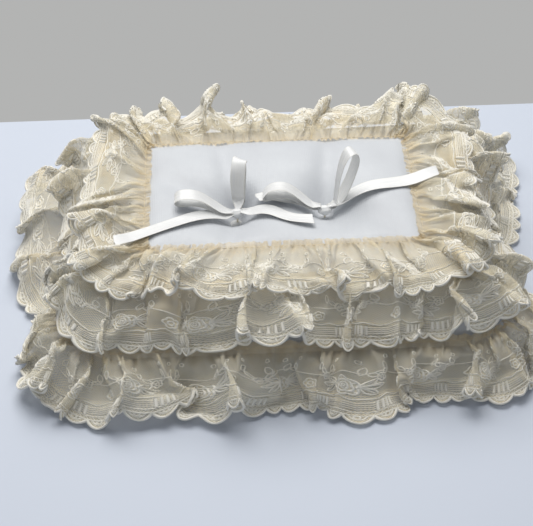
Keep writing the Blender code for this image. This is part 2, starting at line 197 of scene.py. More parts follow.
satinLook = {
    "white": (0.590, 0.612, 0.640, 1),
    "shade": (0.545, 0.562, 0.592, 1),
    "threads": 2600.0,  # per metre across the weave
    "rough": (0.36, 0.50),
    "shader": {"Roughness": 0.42, "Sheen Weight": 0.25, "Sheen Roughness": 0.4, "Specular IOR Level": 0.42},
}
laceLook = {
    "cream": (0.95, 0.875, 0.68, 1),
    "pale": (0.95, 0.925, 0.85, 1),
    # darker yellow, used for ageing in clouds and for the painted shade along the gathers
    "agedAndGatherShade": (0.85, 0.66, 0.36, 1),
    "gatherShadeReach": 0.016,  # how far from the stitches the painted shade of the crowded gathers reaches
}
netLook = {
    "pitch": 0.00125,
    "thread": 0.235,  # share of a mesh that is thread
    "softness": 0.12,
    "slant": 0.8,
    "lineSpacing": 0.0016,  # of the close-worked band
    "band": (0.021, 0.0135),  # where the band lies, in from the edge
    "haze": (0.10, 0.30),  # cover of the finest threads between the others
    "flowerCover": 0.70,
    "edgeCover": 0.45,
    "edgeDepth": 0.0040,
    "shader": {"Roughness": 0.85, "Sheen Weight": 0.15, "Specular IOR Level": 0.2},
}
cordLook = {"paleShare": 0.88, "shader": {"Roughness": 0.6, "Sheen Weight": 0.3, "Specular IOR Level": 0.35}}
ribbonLook = {
    "white": (0.80, 0.81, 0.82, 1),
    "ivory": (0.78, 0.75, 0.66, 1),
    "threads": 14000.0,
    "streaks": (60.0, 2600.0, 1.0),
    "selvedge": (0.0040, 0.0047),  # where the firmer edge begins, from the middle
    "rough": (0.20, 0.34),
    "shader": {"Roughness": 0.24, "Specular IOR Level": 0.6, "Sheen Weight": 0.2},
}
backingLook = {
    "white": (0.80, 0.79, 0.76, 1),
    "shade": (0.72, 0.70, 0.64, 1),
    "threads": 4200.0,
    "shader": {"Roughness": 0.72},
}
threadLook = {"cream": (0.84, 0.77, 0.62, 1), "shade": (0.76, 0.67, 0.50, 1), "shader": {"Roughness": 0.55}}
fibreLook = {
    "white": (0.90, 0.90, 0.89, 1),
    "shade": (0.74, 0.74, 0.73, 1),
    "shader": {"Roughness": 0.95, "Sheen Weight": 0.4},
}


def newMaterial(name, look):
    made = bpy.data.materials.new(name)
    made.use_nodes = True
    shader = made.node_tree.nodes["Principled BSDF"]
    for socket, value in look["shader"].items():
        shader.inputs[socket].default_value = value
    return made, made.node_tree, shader


def bumpOn(tree, shader, height, distance, strength=1.0):
    bump = node(tree, "ShaderNodeBump", {"Height": height, "Distance": distance, "Strength": strength})
    tree.links.new(bump.outputs[0], shader.inputs["Normal"])


def weaveIn(tree, place, warpThreads, weftThreads):
    # Two waves, one for each direction of the weave.
    sums, split = sumsIn(tree), node(tree, "ShaderNodeSeparateXYZ", {0: place})
    return (sums.sine(sums.times(split.outputs[0], warpThreads)),
            sums.sine(sums.times(split.outputs[1], weftThreads)))


def satinMaterial():
    made, tree, shader = newMaterial("whiteSatin", satinLook)
    sums, place = sumsIn(tree), placeIn(tree)
    warp, weft = weaveIn(tree, place, satinLook["threads"] * 2, satinLook["threads"] * 0.9)
    cloud = noise(tree, place, 26.0, 3.0, Roughness=0.55)
    slub = noise(tree, place, 420.0, 2.0)
    tint = blend(tree, spread(tree, cloud, 0.35, 0.7), satinLook["white"], satinLook["shade"])
    tree.links.new(tint, shader.inputs["Base Color"])
    tree.links.new(spread(tree, slub, 0.3, 0.7, *satinLook["rough"]), shader.inputs["Roughness"])
    relief = sums.plus(sums.plus(warp, sums.times(weft, 0.5)), sums.times(slub, 3.0))
    bumpOn(tree, shader, relief, 0.00003, 0.6)
    return made


def backingMaterial():
    made, tree, shader = newMaterial("cottonBacking", backingLook)
    place = placeIn(tree)
    warp, weft = weaveIn(tree, place, backingLook["threads"], backingLook["threads"])
    tint = blend(tree, noise(tree, place, 40.0, 4.0), backingLook["white"], backingLook["shade"])
    tree.links.new(tint, shader.inputs["Base Color"])
    bumpOn(tree, shader, sumsIn(tree).times(warp, weft), 0.00008, 0.7)
    return made


def agedCreamAndGatherShade(tree, place, across=None):
    # Cream lace colour: paler in flecks and yellowed in clouds; a darker yellow band along the stitches is
    # painted shade of the crowded gathers.
    cloud = noise(tree, place, 17.0, 3.0, Roughness=0.6)
    fleck = noise(tree, place, 240.0, 2.0)
    agedAndGatherShade = spread(tree, cloud, 0.46, 0.74, 0.0, 0.5)
    if across is not None:
        # painted shade: the crowded gathers by the stitches are coloured darker and yellower
        agedAndGatherShade = sumsIn(tree).most(agedAndGatherShade, spread(tree, across, 0.0, laceLook["gatherShadeReach"], 0.75, 0.0))
    tint = blend(tree, agedAndGatherShade, laceLook["cream"], laceLook["agedAndGatherShade"])
    return blend(tree, spread(tree, fleck, 0.4, 0.7, 0.0, 0.35), tint, laceLook["pale"])


def netMaterial(width):
    # The strip's ground: a fine diamond net, with a close-worked band of lines above the scalloped edge.
    made, tree, shader = newMaterial("laceNet", netLook)
    sums, edge = sumsIn(tree), edgeLine(width)
    uv = node(tree, "ShaderNodeUVMap", uv_map="lay").outputs[0]
    along, across = node(tree, "ShaderNodeSeparateXYZ", {0: uv}).outputs[:2]
    pitch, thread, soft = netLook["pitch"], netLook["thread"], netLook["softness"]
    holes = None
    for slope in (netLook["slant"], -netLook["slant"]):
        ramp = sums.plus(sums.over(along, pitch), sums.times(across, slope / pitch))
        away = sums.times(sums.size(sums.minus(sums.part(ramp), 0.5)), 2.0)
        holes = away if holes is None else sums.least(holes, away)
    net = spread(tree, holes, thread - soft, thread + soft, 1.0, 0.0)
    lines = sums.size(sums.minus(sums.part(sums.over(across, netLook["lineSpacing"])), 0.5))
    lined = spread(tree, lines, 0.14, 0.30, 0.70, 0.20)
    low, high = (width - inward for inward in netLook["band"])
    band = sums.times(sums.above(across, low), sums.below(across, high))
    haze = spread(tree, noise(tree, uv, 900.0, 1.0), 0.3, 0.7, *netLook["haze"])
    cover = sums.most(sums.most(net, sums.times(lined, band)), haze)
    flowers = None
    for centre, radius, inward in (
        (0.5, motif["roseRadius"], motif["roseInward"]),
        (0.0, motif["budRadius"], motif["budInward"]),
    ):
        share = sums.part(sums.minus(sums.over(along, motif["repeat"]), centre - 0.5))
        aside = sums.times(sums.minus(share, 0.5), motif["repeat"])
        level = sums.minus(across, edge - inward)
        turn = sums.times(sums.angle(level, aside), 2.5)
        petal = sums.plus(sums.times(sums.size(sums.sine(turn)), radius * 0.24), radius * 0.76)
        away = sums.root(sums.plus(sums.times(aside, aside), sums.times(level, level)))
        inside = sums.below(away, petal)
        flowers = inside if flowers is None else sums.most(flowers, inside)
    cover = sums.most(cover, sums.times(flowers, netLook["flowerCover"]))
    arch = sums.size(sums.sine(sums.times(along, math.pi * motif["scallops"] / motif["repeat"])))
    tip = sums.times(sums.power(arch, motif["scallopPower"]), motif["scallopDepth"])
    within = sums.below(across, sums.plus(tip, edge - 0.0003))
    edgeBand = sums.times(sums.above(across, edge - netLook["edgeDepth"]), netLook["edgeCover"])
    cover = sums.least(sums.most(cover, edgeBand), 1.0)
    tree.links.new(sums.times(cover, within), shader.inputs["Alpha"])
    # lace colour, with painted shade along the gathers
    tree.links.new(agedCreamAndGatherShade(tree, placeIn(tree), across), shader.inputs["Base Color"])
    bumpOn(tree, shader, cover, 0.0002, 0.5)
    return made


def cordMaterial():
    made, tree, shader = newMaterial("laceCord", cordLook)
    place = placeIn(tree)
    settings = {"Vector": place, "Scale": 700.0, "Distortion": 3.0, "Detail": 1.0}
    twist = node(tree, "ShaderNodeTexWave", settings).outputs[0]
    tint = blend(tree, cordLook["paleShare"], agedCreamAndGatherShade(tree, place), laceLook["pale"])
    tree.links.new(tint, shader.inputs["Base Color"])
    bumpOn(tree, shader, twist, 0.0002, 0.6)
    return made


def ribbonMaterial():
    made, tree, shader = newMaterial("ribbonSatin", ribbonLook)
    sums = sumsIn(tree)
    uv = node(tree, "ShaderNodeUVMap", uv_map="lay").outputs[0]
    across = node(tree, "ShaderNodeSeparateXYZ", {0: uv}).outputs[1]
    selvedge = spread(tree, sums.size(across), *ribbonLook["selvedge"])
    warp = sums.sine(sums.times(across, ribbonLook["threads"]))
    stretched = node(tree, "ShaderNodeMapping", {"Vector": uv, "Scale": ribbonLook["streaks"]}).outputs[0]
    streak = noise(tree, stretched, 1.0, 2.0)
    tint = blend(tree, spread(tree, streak, 0.3, 0.75, 0.0, 0.35), ribbonLook["white"], ribbonLook["ivory"])
    tint = blend(tree, sums.times(selvedge, 0.35), tint, ribbonLook["ivory"])
    tree.links.new(tint, shader.inputs["Base Color"])
    tree.links.new(spread(tree, streak, 0.3, 0.7, *ribbonLook["rough"]), shader.inputs["Roughness"])
    bumpOn(tree, shader, sums.plus(sums.times(warp, 0.3), sums.times(selvedge, 0.8)), 0.00005, 0.7)
    return made


def threadMaterial():
    made, tree, shader = newMaterial("sewingThread", threadLook)
    settings = {"Vector": placeIn(tree), "Scale": 900.0, "Distortion": 2.0}
    twist = node(tree, "ShaderNodeTexWave", settings).outputs[0]
    tree.links.new(blend(tree, twist, threadLook["cream"], threadLook["shade"]), shader.inputs["Base Color"])
    bumpOn(tree, shader, twist, 0.00015, 0.8)
    return made


def fibreMaterial():
    made, tree, shader = newMaterial("fibreFilling", fibreLook)
    strands = noise(tree, placeIn(tree), 160.0, 8.0, Distortion=2.5)
    tree.links.new(blend(tree, strands, fibreLook["white"], fibreLook["shade"]), shader.inputs["Base Color"])
    bumpOn(tree, shader, strands, 0.0012)
    return made


# --- the cushion's shape, from the frame ---

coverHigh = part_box("front_cover")[1]
knotBoxes = [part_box(f"{side}_bow_knot") for side in ("left", "right")]
cushion = {
    "halfLength": coverHigh[0],
    "halfWidth": coverHigh[1],
    "corner": 0.030,
    "seamHeight": 0.028,
    "rise": 0.036,
    "topShoulder": 0.060,
    "baseShoulder": 0.045,
    "crown": 0.005,
    "panelInset": 0.050,
    "dimpleDepth": 0.012,
    "dimpleRadius": 0.014,
    "knotSeat": 0.006,
    "columns": 92,
    "rows": 72,
    "fullness": 1.03,  # how much more cloth there is than the shape needs
    "frames": 16,
    "cloth": {
        "quality": 5, "mass": 0.2, "tension_stiffness": 10, "compression_stiffness": 6, "shear_stiffness": 4,
        "bending_stiffness": 0.25, "use_pressure": True, "uniform_pressure_force": 4.0,
    },
    "swell": (0.0012, 0.0045, 0.0008),  # most that the front, the panel besides and the back may move
    "clearance": 0.0011,  # lowest point of the sewn shape above the table
    "coverThickness": 0.0006,
}
tufts = [((low[0] + high[0]) / 2, (low[1] + high[1]) / 2) for low, high in knotBoxes]


def insetOf(x, y):
    dx = np.abs(x) - (cushion["halfLength"] - cushion["corner"])
    dy = np.abs(y) - (cushion["halfWidth"] - cushion["corner"])
    beyond = np.hypot(np.maximum(dx, 0), np.maximum(dy, 0))
    return cushion["corner"] - beyond - np.minimum(np.maximum(dx, dy), 0)


def shoulder(inset, reach):
    share = 1 - clamp(inset, 0, reach) / reach
    return np.sqrt(1 - share * share)


def dimple(x, y):
    pulled = 0
    for tuftX, tuftY in tufts:
        away = np.maximum(np.hypot(x - tuftX, y - tuftY) - cushion["knotSeat"], 0)
        pulled = pulled + cushion["dimpleDepth"] * np.exp(-((away / cushion["dimpleRadius"]) ** 2))
    return pulled


def topHeight(x, y):
    panelX = cushion["halfLength"] - cushion["panelInset"]
    panelY = cushion["halfWidth"] - cushion["panelInset"]
    crown = (1 - np.minimum((x / panelX) ** 2, 1)) * (1 - np.minimum((y / panelY) ** 2, 1))
    rise = cushion["rise"] * shoulder(insetOf(x, y), cushion["topShoulder"])
    return cushion["seamHeight"] + rise + cushion["crown"] * crown - dimple(x, y)


def baseHeight(x, y):
    return cushion["seamHeight"] * (1 - shoulder(insetOf(x, y), cushion["baseShoulder"]))


def cushionGrid():
    # Flat grid filling the rounded rectangle: its points and faces, and which points are on the rim.
    columns, rows, corner = cushion["columns"], cushion["rows"], cushion["corner"]
    coreX, coreY = cushion["halfLength"] - corner, cushion["halfWidth"] - corner
    u, v = np.meshgrid(np.linspace(-1, 1, columns + 1), np.linspace(-1, 1, rows + 1), indexing="ij")
    ring = np.maximum(np.abs(u), np.abs(v))
    safe = np.where(ring < 1e-9, 1, ring)
    edgeX, edgeY = u / safe * cushion["halfLength"], v / safe * cushion["halfWidth"]
    pastX, pastY = np.abs(edgeX) - coreX, np.abs(edgeY) - coreY
    pull = corner / np.maximum(np.hypot(pastX, pastY), 1e-9)
    inCorner = (pastX > 0) & (pastY > 0)
    edgeX = np.where(inCorner, np.sign(edgeX) * (coreX + pastX * pull), edgeX)
    edgeY = np.where(inCorner, np.sign(edgeY) * (coreY + pastY * pull), edgeY)
    x, y = (ring * edgeX).ravel(), (ring * edgeY).ravel()
    rim = (ring > 1 - 1e-9).ravel()
    return x, y, gridFaces(columns, rows), rim


def gridFaces(columns, rows):
    corners = [i * (rows + 1) + j for i in range(columns) for j in range(rows)]
    return [(a, a + rows + 1, a + rows + 2, a + 1) for a in corners]


def cushionSides(x, y):
    return np.stack([x, y, topHeight(x, y)], 1), np.stack([x, y, baseHeight(x, y)], 1)


def bothSides(faces, count):
    # The same faces on two layers of points, the second one turned over.
    return faces + [tuple(i + count for i in reversed(face)) for face in faces]


# --- cloth, at ten times its size so that Cloth's contact distances suit thin fabric ---

simScale = 10.0


def clothObject(name, points, faces, rest, pinned):
    piece = addMesh(name, points * simScale, faces)
    piece.shape_key_add(name="start", from_mix=False)
    cut = piece.shape_key_add(name="cut", from_mix=False)
    cut.data.foreach_set("co", (rest * simScale).astype(np.float32).ravel())
    pins = piece.vertex_groups.new(name="pins")
    pins.add([int(i) for i in np.flatnonzero(pinned)], 1.0, "REPLACE")
    cloth = piece.modifiers.new("cloth", "CLOTH")
    cloth.settings.rest_shape_key = cut
    cloth.settings.vertex_group_mass = "pins"
    return piece, cloth


def runCloth(piece, cloth, frames):
    # Steps the simulation and returns the settled points at true size; the cloth object goes.
    scene.frame_start, scene.frame_end = 1, frames + 1
    cloth.point_cache.frame_start, cloth.point_cache.frame_end = 1, frames + 1
    for step in range(1, frames + 1):
        scene.frame_set(step)
    settled = piece.evaluated_get(bpy.context.evaluated_depsgraph_get())
    points = readValues(settled.to_mesh().vertices, "co", 3)
    settled.to_mesh_clear()
    scene.frame_set(1)
    removeObject(piece)
    return points.astype(float) / simScale


def puffCushion():
    # Both covers sewn at the rim, swollen by the filling and held down at the tufts.
    x, y, faces, rim = cushionGrid()
    count = len(x)
    baseIndex = np.arange(count) + count
    baseIndex[rim] = np.flatnonzero(rim)
    keep = np.concatenate([np.ones(count, bool), ~rim])
    renumber = np.cumsum(keep) - 1
    points = np.vstack(cushionSides(x, y))[keep]
    allFaces = faces + [tuple(renumber[baseIndex[i]] for i in reversed(face)) for face in faces]
    rest = points * np.array([cushion["fullness"], cushion["fullness"], 1.0])
    held = np.zeros(len(points), bool)
    held[:count] = rim
    for tuftX, tuftY in tufts:
        held |= np.hypot(points[:, 0] - tuftX, points[:, 1] - tuftY) < cushion["knotSeat"]
    piece, cloth = clothObject("puff", points, allFaces, rest, held)
    setAll(cloth.settings, cushion["cloth"])
    cloth.settings.effector_weights.gravity = 0
    cloth.collision_settings.use_collision = False
    moved = runCloth(piece, cloth, cushion["frames"]) - points
    inset = insetOf(points[:, 0], points[:, 1])
    panel = clamp((inset - cushion["panelInset"] + 0.004) / 0.012, 0, 1)
    front, panelBesides, back = cushion["swell"]
    cap = np.where(np.arange(len(points)) < count, front + panelBesides * panel, back)
    size = np.linalg.norm(moved, axis=1)
    moved *= np.minimum(1, cap * np.tanh(size / cap) / np.maximum(size, 1e-9))[:, None]
    puffed = points + moved
    puffed[:, 2] = np.maximum(puffed[:, 2], cushion["clearance"])
    return puffed, allFaces, len(faces), count


# --- lace: three gathered strips, each sewn along a line round the cushion ---

lace = {
    "step": motif["repeat"] / motif["columns"],  # along the strip
    "rowStep": 0.0050,  # across it
    "heading": 0.005,  # from the stitches to the cut edge
    "crimp": 0.0026,
    "fold": 0.0058,
    "flap": 0.0125,
    "waves": {"crimp": (0.0125, 0.35), "fold": (0.026, 0.5), "flap": (0.058, 0.45), "swell": (0.14, 0.5)},
    "hemShare": 0.85,  # where across the width the fullness is measured
    "cornerEase": 0.034,
    "frames": 20,
    "cloth": {
        "quality": 6, "mass": 0.3, "tension_stiffness": 15, "compression_stiffness": 15, "shear_stiffness": 5,
        "bending_stiffness": 0.7, "tension_damping": 5, "compression_damping": 5, "shear_damping": 3,
        "bending_damping": 0.5, "air_damping": 2,
    },
    "contact": {
        "collision_quality": 2, "distance_min": 0.012, "use_self_collision": True, "self_distance_min": 0.012,
        "self_friction": 5,
    },
    "underneath": {"thickness_outer": 0.015, "thickness_inner": 0.05, "cloth_friction": 8},
    "clear": 0.0006,  # least height above the table
    "offCover": (0.0024, 0.0022),  # least height above the cover, before and after the fine pleats
}
tiers = {
    "top": {"inset": 0.050, "width": 0.060, "gather": 1.36, "lift": 0.0024, "slope": 0.25, "seed": 3},
    "middle": {"inset": 0.025, "width": 0.060, "gather": 1.34, "lift": 0.0024, "slope": 0.10, "seed": 14},
    "bottom": {"inset": -0.003, "width": 0.060, "gather": 1.32, "lift": 0.0, "slope": -0.05, "seed": 25},
}
smallestCorner = 0.003


def ringSizes(offset):
    # Of the seam's outline moved out by offset: corner radius and centres, and its eight stretches' lengths.
    corner = max(cushion["corner"] + offset, smallestCorner)
    coreX = cushion["halfLength"] + offset - corner
    coreY = cushion["halfWidth"] + offset - corner
    centres = np.array([(coreX, -coreY), (coreX, coreY), (-coreX, coreY), (-coreX, -coreY)])
    bend = math.pi / 2 * corner
    return corner, centres, np.array([bend, 2 * coreY, bend, 2 * coreX] * 2)


def ringAt(offset, shares):
    # Points round that outline; whole numbers are the ends of its four corners and four sides.
    corner, centres, _ = ringSizes(offset)
    stretch = np.floor(shares).astype(int) % 8
    part = shares - np.floor(shares)
    quarter = stretch // 2
    turn = np.radians(-90 + 90 * quarter) + np.where(stretch % 2 == 0, part, 1.0) * math.pi / 2
    start, finish = centres[quarter], centres[(quarter + 1) % 4]
    along = np.where(stretch % 2 == 1, part, 0.0)[:, None]
    return start + (finish - start) * along + np.stack([np.cos(turn), np.sin(turn)], 1) * corner


def sharesFromLength(lengths, distances):
    return np.interp(distances, np.concatenate([[0], np.cumsum(lengths)]), np.arange(9))


def keptClear(points, offCover):
    # Keeps lace above the table and above the cover that it lies on.
    above = topHeight(points[:, 0], points[:, 1]) + offCover
    over = insetOf(points[:, 0], points[:, 1]) > 0.001
    points[:, 2] = np.where(over, np.maximum(points[:, 2], above), points[:, 2])
    points[:, 2] = np.maximum(points[:, 2], lace["clear"])


def unevenPhase(flatLength, wave, distances, draw):
    # A wave's phase along the strip whose wavelengths vary, so that no two folds are alike.
    wavelength, unevenness = wave
    count = max(3, round(flatLength / wavelength))
    steps = 1 + unevenness * (draw.random(count) * 2 - 1)
    turns = np.concatenate([[0], np.cumsum(steps)]) / steps.sum() * count
    return np.interp(distances, np.linspace(0, flatLength, count + 1), turns) * 2 * math.pi


def laidStrip(name):
    # A strip as it is sewn on: its points row by row, and the same points on an ungathered hoop.
    tier = tiers[name]
    draw = np.random.default_rng(tier["seed"])
    width, offset = tier["width"], -tier["inset"]
    hem = offset + width * lace["hemShare"]
    innerLengths, outerLengths = ringSizes(offset)[2], ringSizes(hem)[2]
    innerTotal, outerTotal = innerLengths.sum(), outerLengths.sum()
    columns = round(outerTotal * tier["gather"] / motif["repeat"]) * motif["columns"]
    flatLength = columns * lace["step"]
    distances = np.arange(columns) * lace["step"]
    outerShares = sharesFromLength(outerLengths, distances / flatLength * outerTotal)
    inner = np.interp(outerShares, np.arange(9), np.concatenate([[0], np.cumsum(innerLengths)]))
    inner = easedRound(inner, innerTotal, lace["cornerEase"], flatLength)
    innerPoints = ringAt(offset, sharesFromLength(innerLengths, inner % innerTotal))
    outward = ringAt(hem, outerShares) - innerPoints
    outward /= np.linalg.norm(outward, axis=1)[:, None]
    sideways = np.stack([-outward[:, 1], outward[:, 0]], 1)
    crimp, fold, flap, swell = (unevenPhase(flatLength, lace["waves"][kind], distances, draw)
                                for kind in ("crimp", "fold", "flap", "swell"))
    flapSize = 1 + 0.4 * np.sin(swell)
    if tier["inset"] > 0:
        sewn = topHeight(innerPoints[:, 0], innerPoints[:, 1]) + tier["lift"]
    else:
        sewn = np.full(columns, cushion["seamHeight"])
    rows = round(width / lace["rowStep"])
    headRows = round(lace["heading"] / lace["rowStep"])
    around = 2 * math.pi * distances / flatLength
    hoop = flatLength / (2 * math.pi)
    points, rest = [], []
    for row in range(-headRows, rows + 1):
        out = row * width / rows if row > 0 else row * lace["heading"] / headRows
        grown = max(out, 0) / width
        crimpSize = lace["crimp"] * max(0, 1 - 2.2 * grown) if row >= 0 else 0.0012
        foldSize = lace["fold"] * min(1, 3 * grown) * max(0, 1 - 0.6 * grown)
        flapReach = lace["flap"] * grown * flapSize
        height = crimpSize * np.sin(crimp) + foldSize * np.sin(fold) + flapReach * np.sin(flap)
        shift = 0.6 * foldSize * np.cos(fold) + 0.7 * flapReach * np.cos(flap)
        place = innerPoints + outward * (0.82 * out) + sideways * shift[:, None]
        rise = out * tier["slope"] if row > 0 else -out * 0.5
        level = sewn + rise + height + 0.004 * math.sin(math.pi * min(grown, 1))
        points.append(np.column_stack([place, np.maximum(level, 0.003)]))
        rest.append(np.column_stack([hoop * np.cos(around), hoop * np.sin(around), np.full(columns, out)]))
    return np.vstack(points), np.vstack(rest), columns, rows + headRows + 1, headRows


def easedRound(distances, total, width, flatLength):
    # Spreads the fullness that is pushed into the corners a little way along the sides.
    count = len(distances)
    reach = max(1, round(width / flatLength * count * 1.2))
    weights = np.hanning(2 * reach + 1)
    weights /= weights.sum()
    padded = np.concatenate([distances[-reach:] - total, distances, distances[:reach] + total])
    return np.convolve(padded, weights, "valid")


def stripFaces(columns, rows, first=0):
    faces = []
    for row in range(rows - 1):
        for column in range(columns):
            following = (column + 1) % columns
            a, b = first + row * columns, first + (row + 1) * columns
            faces.append((a + column, b + column, b + following, a + following))
    return faces


def colliders():
    # The stuffed cushion and the table, for the lace to lie on.
    x, y, faces, _ = cushionGrid()
    body = addMesh("layBody", np.vstack(cushionSides(x, y)) * simScale, bothSides(faces, len(x)))
    reach = simScale
    corners = [(-reach, -reach, 0), (reach, -reach, 0), (reach, reach, 0), (-reach, reach, 0)]
    table = addMesh("layTable", corners, [(0, 1, 2, 3)])
    for piece in (body, table):
        piece.modifiers.new("contact", "COLLISION")
        setAll(piece.collision, lace["underneath"])
    return body, table


def dropLace():
    # All three strips in one simulation, so that each tier lies on the next. Gives each tier's settled grid.
    points, rest, faces, pinned, layout = [], [], [], [], {}
    first = 0
    for name in tiers:
        laid, flat, columns, rows, sewnRow = laidStrip(name)
        pins = np.zeros((rows, columns), bool)
        pins[sewnRow] = True
        points.append(laid)
        rest.append(flat)
        pinned.append(pins.ravel())
        faces += stripFaces(columns, rows, first)
        layout[name] = (first, columns, rows, sewnRow)
        first += columns * rows
    points, rest, pinned = np.vstack(points), np.vstack(rest), np.concatenate(pinned)
    under = colliders()
    piece, cloth = clothObject("lay", points, faces, rest, pinned)
    setAll(cloth.settings, lace["cloth"])
    setAll(cloth.collision_settings, lace["contact"])
    points = runCloth(piece, cloth, lace["frames"])
    for collider in under:
        removeObject(collider)
    keptClear(points, lace["offCover"][0])
    return {name: (points[start:start + columns * rows], columns, rows, sewnRow)
            for name, (start, columns, rows, sewnRow) in layout.items()}


crimps = {
    "pitch": (0.0068, 0.35),  # wavelength and its unevenness
    "swell": (0.031, 0.5),
    "across": (-lace["heading"], 0, 0.006, 0.014, 0.026),
    "sizes": (0.0009, 0.0006, 0.0015, 0.0009, 0),
}


def crimpSheet(sheet, name):
    # Fine pleats that fan out from the gathering stitches.
    mesh = sheet.data
    corner = readValues(mesh.loops, "vertex_index", 1, np.int32).ravel()
    place = np.zeros((len(mesh.vertices), 2))
    place[corner] = readValues(mesh.uv_layers["lay"].data, "uv", 2)
    along, across = place[:, 0], place[:, 1]
    draw = np.random.default_rng(tiers[name]["seed"] + 100)
    phase = unevenPhase(along.max(), crimps["pitch"], along, draw)
    swell = 1 + 0.35 * np.sin(unevenPhase(along.max(), crimps["swell"], along, draw))
    size = np.interp(across, crimps["across"], crimps["sizes"])
    points = readValues(mesh.vertices, "co", 3).astype(float)
    points += readValues(mesh.vertices, "normal", 3) * (size * swell * np.sin(phase))[:, None]
    keptClear(points, lace["offCover"][1])
    mesh.vertices.foreach_set("co", points.astype(np.float32).ravel())
    mesh.update()


def laceSheet(name, settled, material):
    # The strip's net as one fine sheet, with its own flat places as a UV map in metres.
    points, columns, rows, sewnRow = settled
    heading, width = lace["heading"], tiers[name]["width"]
    sheet = addMesh(f"{name}_lace_net", points, stripFaces(columns, rows), material)
    acrossRows = [-heading * (sewnRow - row) / sewnRow if row < sewnRow else
                  width * (row - sewnRow) / (rows - 1 - sewnRow) for row in range(rows)]
    corners = []
    for low, high in zip(acrossRows, acrossRows[1:]):
        for column in range(columns):
            left, right = column * lace["step"], (column + 1) * lace["step"]
            corners += [(left, low), (left, high), (right, high), (right, low)]
    setUv(sheet, corners)
    packed = np.array(corners).reshape(-1, 4, 2)
    length = columns * lace["step"]
    bands = 5  # the bake map holds the long strip in bands, one above the other
    bandLength = length / bands
    band = np.minimum((packed[:, 0, 0] / bandLength).astype(int), bands - 1)
    packed[:, :, 0] = (packed[:, :, 0] - (band * bandLength)[:, None]) / (bandLength * 1.03) + 0.01
    height = (width + heading) * 1.12
    packed[:, :, 1] = (packed[:, :, 1] + heading) / (height * bands) + (band / bands)[:, None] + 0.005
    setUv(sheet, packed.reshape(-1, 2), "OFBake")
    finerBy(sheet)
    applied(sheet)
    crimpSheet(sheet, name)
    normals = readValues(sheet.data.vertices, "normal", 3).ravel()
    sheet.data.attributes.new("outward", "FLOAT_VECTOR", "POINT").data.foreach_set("vector", normals)
    return sheet, length


# --- lace work: the cords and flowers of one repeat, laid flat, repeated and wrapped on to a strip ---

def scallopAt(share):
    return motif["scallopDepth"] * abs(math.sin(math.pi * share)) ** motif["scallopPower"]


def onward(start, angle, distance):
    return start[0] + distance * math.cos(angle), start[1] + distance * math.sin(angle)


def petals(centre, radius, count, depth, steps, turn=0.0):
    points = []
    for step in range(steps + 1):
        angle = 2 * math.pi * step / steps
        reach = radius * (1 - depth + depth * abs(math.sin(count * angle / 2 + turn)))
        points.append(onward(centre, angle, reach))
    return points


def leaf(root, angle, length, breadth):
    sides = []
    for share in (0, 0.2, 0.45, 0.7, 0.9, 1.0, 0.9, 0.7, 0.45, 0.2, 0):
        side = 1 if len(sides) < 5 else -1
        spreadOut = side * breadth * math.sin(math.pi * share) ** 0.8
        sides.append((
            root[0] + length * share * math.cos(angle) - spreadOut * math.sin(angle),
            root[1] + length * share * math.sin(angle) + spreadOut * math.cos(angle),
        ))
    return sides


